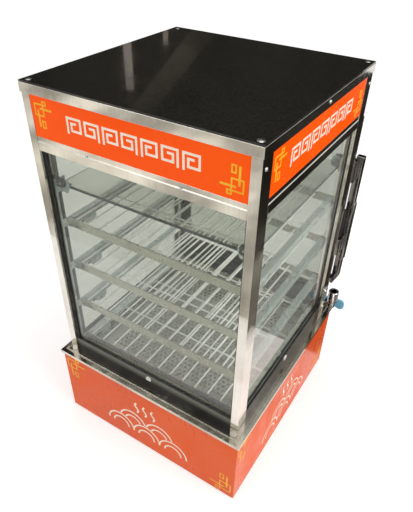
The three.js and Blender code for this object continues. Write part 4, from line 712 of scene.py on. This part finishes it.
base_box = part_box("base_housing")
base_low, base_high = base_box
base_height = (base_high.z - base_low.z) / MM
base_frets = (BASE_FRET_MARGIN, BASE_FRET_SCALE)
for side, (matrix, width) in faces_of(base_box, base_box, base_box, base_low.z).items():
    ornament(
        f"base_{side}_frets", fret_lines(width, base_height, *base_frets), matrix, yellow_ink,
        "case",
    )
    ornament(
        f"base_{side}_clouds", cloud_lines(width / 2), matrix, cream_ink,
        "case",
    )


# Screws: a domed head with a cross recess, and a washer under those of the roof
SCREW_SIDES = 28
DOME_STEPS = 7
WASHER_THICKNESS = 0.5
CROWN_RISE = 0.02
# Edges steeper than this stay sharp, in degrees
SHARP_ABOVE = 40
# Shares of the screw's radius
WASHER_REACH = 1.35
RECESS_REACH = 0.5
RECESS_SLOT = 0.14
RECESS_DEPTH = 0.45
# The recess narrows to this share at its floor
RECESS_TAPER = 0.6


def screw_mesh(name, radius, height, washer):
    """A screw's head, in millimetres, that stands on its own origin and looks along Z."""
    angles = [i * math.pi / 2 / DOME_STEPS for i in range(DOME_STEPS)]
    profile = [(radius * math.cos(angle), height * math.sin(angle)) for angle in angles]
    if washer:
        reach = radius * WASHER_REACH
        raised = [(r, h + WASHER_THICKNESS) for r, h in profile]
        profile = [(reach, 0), (reach, WASHER_THICKNESS), *raised]
    top = profile[-1][1] + CROWN_RISE
    work = bmesh.new()
    rings = []
    for r, h in profile:
        ring = []
        for k in range(SCREW_SIDES):
            angle = 2 * math.pi * k / SCREW_SIDES
            ring.append(work.verts.new((r * MM * math.cos(angle), r * MM * math.sin(angle), h * MM)))
        rings.append(ring)
    for low, high in zip(rings, rings[1:]):
        for k in range(SCREW_SIDES):
            following = (k + 1) % SCREW_SIDES
            work.faces.new((low[k], low[following], high[following], high[k]))
    arm = radius * RECESS_REACH
    slot = radius * RECESS_SLOT
    cross = [
        (slot, slot), (slot, arm), (-slot, arm), (-slot, slot), (-arm, slot), (-arm, -slot),
        (-slot, -slot), (-slot, -arm), (slot, -arm), (slot, -slot), (arm, -slot), (arm, slot),
    ]
    count = len(cross)
    bottom = top - radius * RECESS_DEPTH
    narrow = RECESS_TAPER * MM
    rim = [work.verts.new((x * MM, y * MM, top * MM)) for x, y in cross]
    floor = [work.verts.new((x * narrow, y * narrow, bottom * MM)) for x, y in cross]
    for k in range(count):
        following = (k + 1) % count
        work.faces.new((rim[following], rim[k], floor[k], floor[following]))
    work.faces.new(floor[::-1])
    loops = rings[-1] + rim
    open_edges = [edge for edge in work.edges if len(edge.link_faces) == 1 and edge.verts[0] in loops]
    bmesh.ops.bridge_loops(work, edges=open_edges)
    bmesh.ops.recalc_face_normals(work, faces=work.faces)
    for face in work.faces:
        face.smooth = True
    mesh = bpy.data.meshes.new(name)
    work.to_mesh(mesh)
    work.free()
    mesh.set_sharp_from_angle(angle=math.radians(SHARP_ABOVE))
    mesh.materials.append(screw_metal)
    return mesh


roof_screw = screw_mesh("roof_screw", 3.6, 1.6, True)
sheet_screw = screw_mesh("sheet_screw", 2.6, 1.4, False)
small_screw = screw_mesh("small_screw", 1.9, 1.0, False)


def screw(name, mesh, at, out, body="case", turn=0.0):
    """A screw at a point of a face that looks out along a direction."""
    obj = add(name, mesh)
    aim = Vector(out).to_track_quat("Z", "Y").to_matrix().to_4x4()
    obj.matrix_world = Matrix.Translation(Vector(at)) @ aim @ Matrix.Rotation(turn, 4, "Z")
    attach(obj, body)


def on_face(node, start, towards):
    """The point where a line that starts outside a node first meets it."""
    mesh = nodes[node].data
    tree = BVHTree.FromPolygons([v.co for v in mesh.vertices], [p.vertices for p in mesh.polygons])
    return tree.ray_cast(Vector(start), Vector(towards))[0]


# The roof's screws stand on the lid, in the wells of the panel
WELL_INSET = 9 * MM
panel_low, panel_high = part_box("roof_panel")
middle_x = (panel_low.x + panel_high.x) / 2
middle_y = (panel_low.y + panel_high.y) / 2
wells = [
    (x, y)
    for y in (panel_low.y + WELL_INSET, panel_high.y - WELL_INSET)
    for x in (panel_low.x + WELL_INSET, panel_high.x - WELL_INSET)
]
for i, (x, y) in enumerate(wells):
    screw(f"roof_screw_{i + 1}", roof_screw, (x, y, lid_high.z), UP, turn=0.4 * i)

# Screws in the lid's lip, the posts, the header bands, the door's pull and its hinges

# A line that looks for a face starts this far from the case's middle, or this far from a pull or hinge
OUTSIDE = 400 * MM
NEAR = 20 * MM
# Heights over the foot of the lid, the foot of the signs and the top of the base
LIP_SCREW_RISE = 7.5 * MM
POST_SCREW_RISE = 43 * MM
FOOT_SCREW_RISE = 22 * MM
# Behind the front sign, and before the rear of the roof's panel
FRONT_POST_INSET = 9.5 * MM
REAR_POST_INSET = 6 * MM
# Under the foot of the signs, and to each side of the middle
HEADER_SCREW_DROP = 8 * MM
HEADER_SCREW_REACH = 75 * MM
# In from the side of the pull and of each hinge, and up from their feet
PULL_SCREW_INSET = 17 * MM
PULL_SCREW_RISES = (98 * MM, 256 * MM)
HINGE_SCREW_INSET = 11 * MM
HINGE_SCREW_RISES = (10 * MM, 40 * MM)

rear_post_y = panel_high.y - REAR_POST_INSET
for side, sign in SIDES.items():
    start_x = middle_x + sign * OUTSIDE
    for spot, node, y, z in (
        ("lip", "roof_lid", middle_y, lid_low.z + LIP_SCREW_RISE),
        ("post_front", f"post_front_{side}", sign_low.y + FRONT_POST_INSET, sign_low.z + POST_SCREW_RISE),
        ("post_rear", f"post_rear_{side}", rear_post_y, sign_low.z + POST_SCREW_RISE),
        ("post_foot", f"post_rear_{side}", rear_post_y, base_high.z + FOOT_SCREW_RISE),
    ):
        hit = on_face(node, (start_x, y, z), (-sign, 0, 0))
        screw(f"{spot}_screw_{side}", sheet_screw, hit, (sign, 0, 0), turn=0.7)
for i, reach in enumerate((-HEADER_SCREW_REACH, HEADER_SCREW_REACH)):
    for node, out in (("header_front", -1), ("header_rear", 1)):
        start = (middle_x + reach, middle_y + out * OUTSIDE, sign_low.z - HEADER_SCREW_DROP)
        hit = on_face(node, start, (0, -out, 0))
        screw(f"{node}_screw_{i + 1}", small_screw, hit, (0, out, 0), turn=0.3)
pull_low, pull_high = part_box("door_pull")
for i, rise in enumerate(PULL_SCREW_RISES):
    start = (pull_low.x + PULL_SCREW_INSET, pull_high.y + NEAR, pull_low.z + rise)
    hit = on_face("door_pull", start, (0, -1, 0))
    screw(f"pull_screw_{i + 1}", sheet_screw, hit, (0, 1, 0), body="door", turn=0.5)
for hinge in ("hinge_lower", "hinge_upper"):
    hinge_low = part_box(hinge)[0]
    for i, rise in enumerate(HINGE_SCREW_RISES):
        start = (hinge_low.x - NEAR, hinge_low.y + HINGE_SCREW_INSET, hinge_low.z + rise)
        hit = on_face(hinge, start, (1, 0, 0))
        screw(f"{hinge}_screw_{i + 1}", sheet_screw, hit, (-1, 0, 0), turn=0.9)


# Small fittings inside the glazing, in millimetres
def plate(name, outline, depth, matrix, material, width=0.4):
    """A flat shape with rounded edges, fixed to the case; a negative depth lies behind its plane."""
    count = len(outline)
    vertices = [matrix @ Vector((x * MM, y * MM, h * MM)) for h in (0, depth) for x, y in outline]
    sides = [(i, (i + 1) % count, (i + 1) % count + count, i + count) for i in range(count)]
    faces = [tuple(range(count))[::-1], tuple(range(count, 2 * count)), *sides]
    if depth < 0:
        faces = [face[::-1] for face in faces]
    obj = own(name, mesh_of(name, vertices, faces), material, "case")
    soften(obj, width, 3)


CLIP = [(0, 0), (9.5, 0), (9.5, 4), (4.2, 5.2), (3.4, 13), (0, 13)]
BRACKET = [(0, 3.5), (3, 0.5), (8, 0), (20, 0), (25, 2), (26, 6), (26, 10.5), (0, 10.5)]
GUSSET = [(0, 0), (5.5, 0), (5.5, 5.5)]
CLAMP = [(0.2, 0), (11, 0), (13, 2), (13, 12), (11, 14), (0.2, 14)]
STOP = [(0, 0), (9, 0), (10, 1), (10, 6), (8, 8), (2, 8), (0, 6)]
# The inner face of a shelf carrier's web lies this far inside its outer side
WEB_INSET = 2.6
# A clamp's outer face lies this far beyond the shield's end, and its foot this far over the shield's
CLAMP_REACH = 8
CLAMP_RISE = 2
CLAMP_DEPTH = 5.6
# Its pin lies this far in from the web, and this far over the shield's foot
PIN_INSET = 7
PIN_RISE = 9

drip_low, drip_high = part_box("drip_plate")
for side, sign in SIDES.items():
    inwards = (-sign, 0, 0)
    rack_low, rack_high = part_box(f"shelf_rack_{side}")
    web = (rack_high.x if sign > 0 else rack_low.x) - sign * WEB_INSET * MM
    # Outline, the way it runs, depth, place, width of its rounded edges and material. The place is
    # inwards from the web, behind the shelf's front and above the shelf's top.
    fittings = {
        "clip": (CLIP, inwards, 5 * sign, (0, -1.2, -15), 0.4, wire_steel),
        "bracket": (BRACKET, BACKWARDS, -9 * sign, (2, 27, -25), 0.8, rack_steel),
        "gusset": (GUSSET, BACKWARDS, -2 * sign, (6, 20.5, -20), 0.2, dark_mark),
    }
    for level in LEVELS:
        shelf_low, shelf_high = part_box(f"shelf_{level}")
        for kind, (outline, across, depth, place, edge, material) in fittings.items():
            inset, behind, rise = place
            corner = (web - sign * inset * MM, shelf_low.y + behind * MM, shelf_high.z + rise * MM)
            matrix = face_frame(corner, across, UP)
            plate(f"{kind}_{side}_{level}", outline, depth, matrix, material, edge)
    for end, y, out in (
        ("front", drip_low.y - CLAMP_REACH * MM, -1),
        ("rear", drip_high.y + CLAMP_REACH * MM, 1),
    ):
        matrix = face_frame((web, y, drip_low.z + CLAMP_RISE * MM), inwards, UP)
        depth = -CLAMP_DEPTH * sign * out
        plate(f"clamp_{end}_{side}", CLAMP, depth, matrix, black_plastic)
        pin = (web - sign * PIN_INSET * MM, y, drip_low.z + PIN_RISE * MM)
        screw(f"clamp_pin_{end}_{side}", small_screw, pin, (0, out, 0))

# Pale stops that hold the panes' lower edges, one on the middle of each sill
STOP_MIDDLE = 5
STOP_DEPTH = 2.2
# The foot of a stop lies this far under the sill's top
STOP_DROP = 12
# Most of the ornament's lift is taken back by this, so that a stop sits on its sill
STOP_BACK = 0.05
sill_faces = faces_of(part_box("sill_front"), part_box("sill_right"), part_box("sill_left"), 0)
for side, (matrix, width) in sill_faces.items():
    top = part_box(f"sill_{side}")[1].z / MM
    corner = Vector((width / 2 - STOP_MIDDLE, top - STOP_DROP, -STOP_BACK))
    shift = Matrix.Translation(corner * MM)
    plate(f"stop_{side}", STOP, STOP_DEPTH, matrix @ shift, holder_white, 0.7)


# Steam plate with its staggered holes
STEAM_BORDER = 34
HOLE_PITCH = 9
HOLE_RADIUS = 2.3


def steam_sheet(name, low, high):
    """A sheet cut into square cells, each with an eight-sided hole, inside a plain border."""
    work = bmesh.new()
    pitch = HOLE_PITCH * MM
    radius = HOLE_RADIUS * MM
    columns = int((high.x - low.x) / MM - 2 * STEAM_BORDER) // HOLE_PITCH
    rows = int((high.y - low.y) / MM - 2 * STEAM_BORDER) // HOLE_PITCH
    left = (low.x + high.x) / 2 - columns * pitch / 2
    front = (low.y + high.y) / 2 - rows * pitch / 2
    right = left + columns * pitch
    back = front + rows * pitch

    def quad(*corners):
        work.faces.new([work.verts.new(corner) for corner in corners])

    def sheet_faces(a, b, c, d):
        """The same four corners on the upper face and, the other way round, on the lower one."""
        quad((*a, high.z), (*b, high.z), (*c, high.z), (*d, high.z))
        quad((*d, low.z), (*c, low.z), (*b, low.z), (*a, low.z))

    def wall(a, b):
        """The sheet's edge along a line, facing the line's right."""
        quad((*a, low.z), (*b, low.z), (*b, high.z), (*a, high.z))

    def cell(x0, y0):
        """A square with a hole in its middle."""
        x1 = x0 + pitch
        y1 = y0 + pitch
        mid_x = (x0 + x1) / 2
        mid_y = (y0 + y1) / 2
        rim = [
            (x1, mid_y), (x1, y1), (mid_x, y1), (x0, y1),
            (x0, mid_y), (x0, y0), (mid_x, y0), (x1, y0),
        ]
        count = len(rim)
        turns = [2 * math.pi * k / count for k in range(count)]
        hole = [(mid_x + radius * math.cos(turn), mid_y + radius * math.sin(turn)) for turn in turns]
        for k in range(count):
            following = (k + 1) % count
            sheet_faces(rim[k], rim[following], hole[following], hole[k])
            wall(hole[following], hole[k])

    for row in range(rows):
        shift = (row % 2) * pitch / 2
        y0 = front + row * pitch
        y1 = y0 + pitch
        for column in range(columns - row % 2):
            cell(left + shift + column * pitch, y0)
        # A shifted row has half a cell left over at each end
        if row % 2:
            for x0, x1 in ((left, left + shift), (right - shift, right)):
                sheet_faces((x0, y0), (x1, y0), (x1, y1), (x0, y1))
    outer = [(low.x, low.y), (high.x, low.y), (high.x, high.y), (low.x, high.y)]
    inner = [(left, front), (right, front), (right, back), (left, back)]
    for k in range(4):
        following = (k + 1) % 4
        sheet_faces(outer[k], outer[following], inner[following], inner[k])
        wall(outer[k], outer[following])
    bmesh.ops.remove_doubles(work, verts=work.verts, dist=MERGE_DISTANCE * MM)
    mesh = bpy.data.meshes.new(name)
    work.to_mesh(mesh)
    work.free()
    return mesh


steam_mesh = steam_sheet("steam_sheet", *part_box("steam_plate"))
steam = own("steam_sheet", steam_mesh, steam_steel, "case")
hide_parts("steam_plate")

# Marks at the back, in millimetres: the knob's pointer, and a scale clockwise from its rest at the top
TICKS = 11
# Degrees from tick to tick
TICK_TURN = 27
LONG_EVERY = 5
TICK_START = 20
SHORT_TICK_END = 23
LONG_TICK_END = 25
TICK_WIDTH = 0.9
POINTER = [(0, 6), (0, 15)]
POINTER_WIDTH = 1.3
POINTER_THICKNESS = 0.02

knob_low, knob_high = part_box("thermostat_knob")
knob_x = (knob_low.x + knob_high.x) / 2
knob_z = (knob_low.z + knob_high.z) / 2
ticks = []
for k in range(TICKS):
    angle = math.radians(90 - TICK_TURN * k)
    end = SHORT_TICK_END if k % LONG_EVERY else LONG_TICK_END
    points = [(r * math.cos(angle), r * math.sin(angle)) for r in (TICK_START, end)]
    ticks.append((points, TICK_WIDTH, False))
rear_face = face_frame((knob_x, base_high.y + LIFT, knob_z), (-1, 0, 0), UP)
ornament("knob_scale", ticks, rear_face, cream_ink, "case")
knob_face = face_frame((knob_x, knob_high.y + LIFT / 2, knob_z), (-1, 0, 0), UP)
ornament(
    "knob_pointer", [(POINTER, POINTER_WIDTH, False)], knob_face, cream_ink,
    "knob", POINTER_THICKNESS,
)

# The studio: a pale floor, soft lamps, boards that the polished metal mirrors, and the camera
# Sizes and places are in metres

# Corners of a flat piece, each way from its middle
SQUARE = ((-1, -1), (1, -1), (1, 1), (-1, 1))
FLOOR_REACH = 9
FLOOR_COLOUR = (0.8, 0.8, 0.79, 1)
# The floor's glow has its first strength near the case and its second one far from it
GLOW = (0.45, 0.7)
GLOW_DISTANCES = (0.9, 4.5)
# The strength of the world's own light on the case
AMBIENT = 0.42
WHITE = (1, 1, 1, 1)
# Patches of light on a board, to the metre, and the noise values between which they come in
BOARD_PATCHES = 1.7
BOARD_RANGE = (0.35, 0.65)


def seen_rays(tree):
    """One for a ray of the camera or one that glass or metal sends on, else nought."""
    path = put(tree, "LightPath")
    seen = calc(tree, "ADD", path.outputs["Is Camera Ray"], path.outputs["Is Glossy Ray"], True)
    return calc(tree, "ADD", seen, path.outputs["Is Transmission Ray"], True)


def bare_material(name):
    """A material whose output is still free."""
    material = bpy.data.materials.new(name)
    material.use_nodes = True
    tree = material.node_tree
    tree.nodes.remove(tree.nodes["Principled BSDF"])
    return material


def staged(name, corners, material):
    """A flat piece of the studio, which isn't part of the case."""
    mesh = mesh_of(name, corners, [(0, 1, 2, 3)])
    mesh.materials.append(material)
    obj = add(name, mesh)
    return obj


def pale_floor():
    """A matt floor that keeps the case's shadow and glows only in what the camera and mirrors see."""
    material = bare_material("floor")
    tree = material.node_tree
    matt = put(tree, "BsdfDiffuse", Color=FLOOR_COLOUR)
    away = put(tree, "VectorMath", {"operation": "LENGTH"})
    connect(tree, put(tree, "TexCoord").outputs["Object"], away.inputs[0])
    lift = spread(tree, away.outputs["Value"], *GLOW_DISTANCES, *GLOW)
    strength = calc(tree, "MULTIPLY", seen_rays(tree), lift)
    glow = put(tree, "Emission", Color=WHITE, Strength=strength)
    both = tree.nodes.new("ShaderNodeAddShader")
    connect(tree, matt.outputs[0], both.inputs[0])
    connect(tree, glow.outputs[0], both.inputs[1])
    connect(tree, both.outputs[0], tree.nodes["Material Output"].inputs["Surface"])
    staged("floor", [(x * FLOOR_REACH, y * FLOOR_REACH, 0) for x, y in SQUARE], material)


def white_world():
    """A world that lights the case softly and is white in what the camera and mirrors see."""
    world = bpy.data.worlds.new("studio")
    world.use_nodes = True
    bpy.context.scene.world = world
    tree = world.node_tree
    background = tree.nodes["Background"]
    connect(tree, WHITE, background.inputs["Color"])
    strength = spread(tree, seen_rays(tree), 0.0, 1.0, AMBIENT, 1.0)
    connect(tree, strength, background.inputs["Strength"])


def board(name, middle, across, up, size, colour, streaks=(1, 1, 1), contrast=(0.55, 1.35)):
    """A cloudy board that only reflections show, facing the cross product of across and up."""
    width, height = size
    place = face_frame(middle, across, up)
    corners = [place @ Vector((x * width / 2, y * height / 2, 0)) for x, y in SQUARE]
    material = bare_material(name)
    tree = material.node_tree
    spot = put(tree, "TexCoord").outputs["Object"]
    patches = noise(tree, spot, BOARD_PATCHES, detail=3.0, stretch=streaks)
    cloudy = spread(tree, patches, *BOARD_RANGE, *contrast)
    light = put(tree, "Emission", Color=tone(colour), Strength=cloudy)
    connect(tree, light.outputs[0], tree.nodes["Material Output"].inputs["Surface"])
    obj = staged(name, corners, material)
    obj.visible_camera = False
    obj.visible_diffuse = False
    obj.visible_transmission = False
    obj.visible_volume_scatter = False
    obj.visible_shadow = False


def ground_board(name, middle, size, colour, **options):
    """A board that lies on the floor."""
    board(name, middle, (1, 0, 0), BACKWARDS, size, colour, **options)


def lamp(name, at, aim, size, watts, colour=(1, 1, 1)):
    """A soft rectangular lamp at a place, aimed at a point."""
    data = bpy.data.lights.new(name, "AREA")
    data.shape = "RECTANGLE"
    data.size, data.size_y = size
    data.energy = watts
    data.color = colour
    obj = add(name, data)
    obj.location = at
    obj.rotation_mode = "QUATERNION"
    obj.rotation_quaternion = (Vector(aim) - Vector(at)).to_track_quat("-Z", "Y")


pale_floor()
white_world()
lamp("right_window", (2.5, -0.3, 1.5), aim=(0, 0, 0.3), size=(1.6, 1.6), watts=37, colour=(1, 0.98, 0.95))
lamp("front_window", (-1.2, -2.6, 1.7), aim=(0, 0, 0.35), size=(1.8, 1.4), watts=26)
lamp("ceiling", (0.3, 0.2, 2.8), aim=(0, 0, 0.4), size=(2.0, 2.0), watts=20)

# A dim room behind the case, along the picture's width, with two pale uprights and a slanting beam
ROOM_ACROSS = (0.85, 0.53, 0)
board("back_board", (-1.3, 2.1, 1.75), ROOM_ACROSS, UP, (5.2, 3.1), "2b2925", contrast=(0.8, 1.2))
board("upright_1", (-1.424, 1.473, 1.117), ROOM_ACROSS, UP, (0.042, 0.5), "b9ada0")
board("upright_2", (-0.929, 1.132, 0.9), ROOM_ACROSS, UP, (0.02, 0.192), "8d8476")
board(
    "slanting_beam", (-1.505, 1.948, 1.42), (0.387, 0.241, 0.372), (-0.316, -0.197, 0.456),
    (0.12, 0.75), "4b473e",
)
# Pale ground in front, dim ground on the right and at the rear right, a paler strip beside the case,
# and a dim board on the left
ground_board(
    "front_ground", (-0.5, -1.45, 0.004), (3.4, 1.7), "f2eee3",
    streaks=(2.2, 1.4, 1), contrast=(0.5, 1.3),
)
ground_board("right_ground", (1.495, 0.75, 0.003), (2.31, 3.2), "302e2b")
ground_board("rear_ground", (0.40, 0.845, 0.005), (0.42, 1.32), "35322e")
ground_board("right_strip", (0.395, 0.4, 0.007), (0.13, 0.9), "8a867d")
board("left_board", (-2.4, -0.3, 1.0), (0, -1, 0), UP, (3.0, 2.0), "55524c")

# The camera, fitted to the corners of the roof, the rim and the base
camera_data = bpy.data.cameras.new("camera")
camera_data.sensor_width = 36
camera_data.lens = 35.90
camera_data.shift_x = 0.0063
camera_data.shift_y = 0.0226
camera = add("camera", camera_data)
camera_place = Vector((0.37465, -0.6405, 0.873))
picture_right = Vector((0.84255, 0.53843, 0.01546))
picture_down = Vector((0.33925, -0.50814, -0.79168))
heading = Vector((-0.41840, 0.67226, -0.61079))
camera_axes = Matrix((picture_right, -picture_down, -heading)).transposed().to_4x4()
camera.matrix_world = Matrix.Translation(camera_place) @ camera_axes
bpy.context.scene.camera = camera
bpy.context.scene.view_settings.view_transform = "Standard"
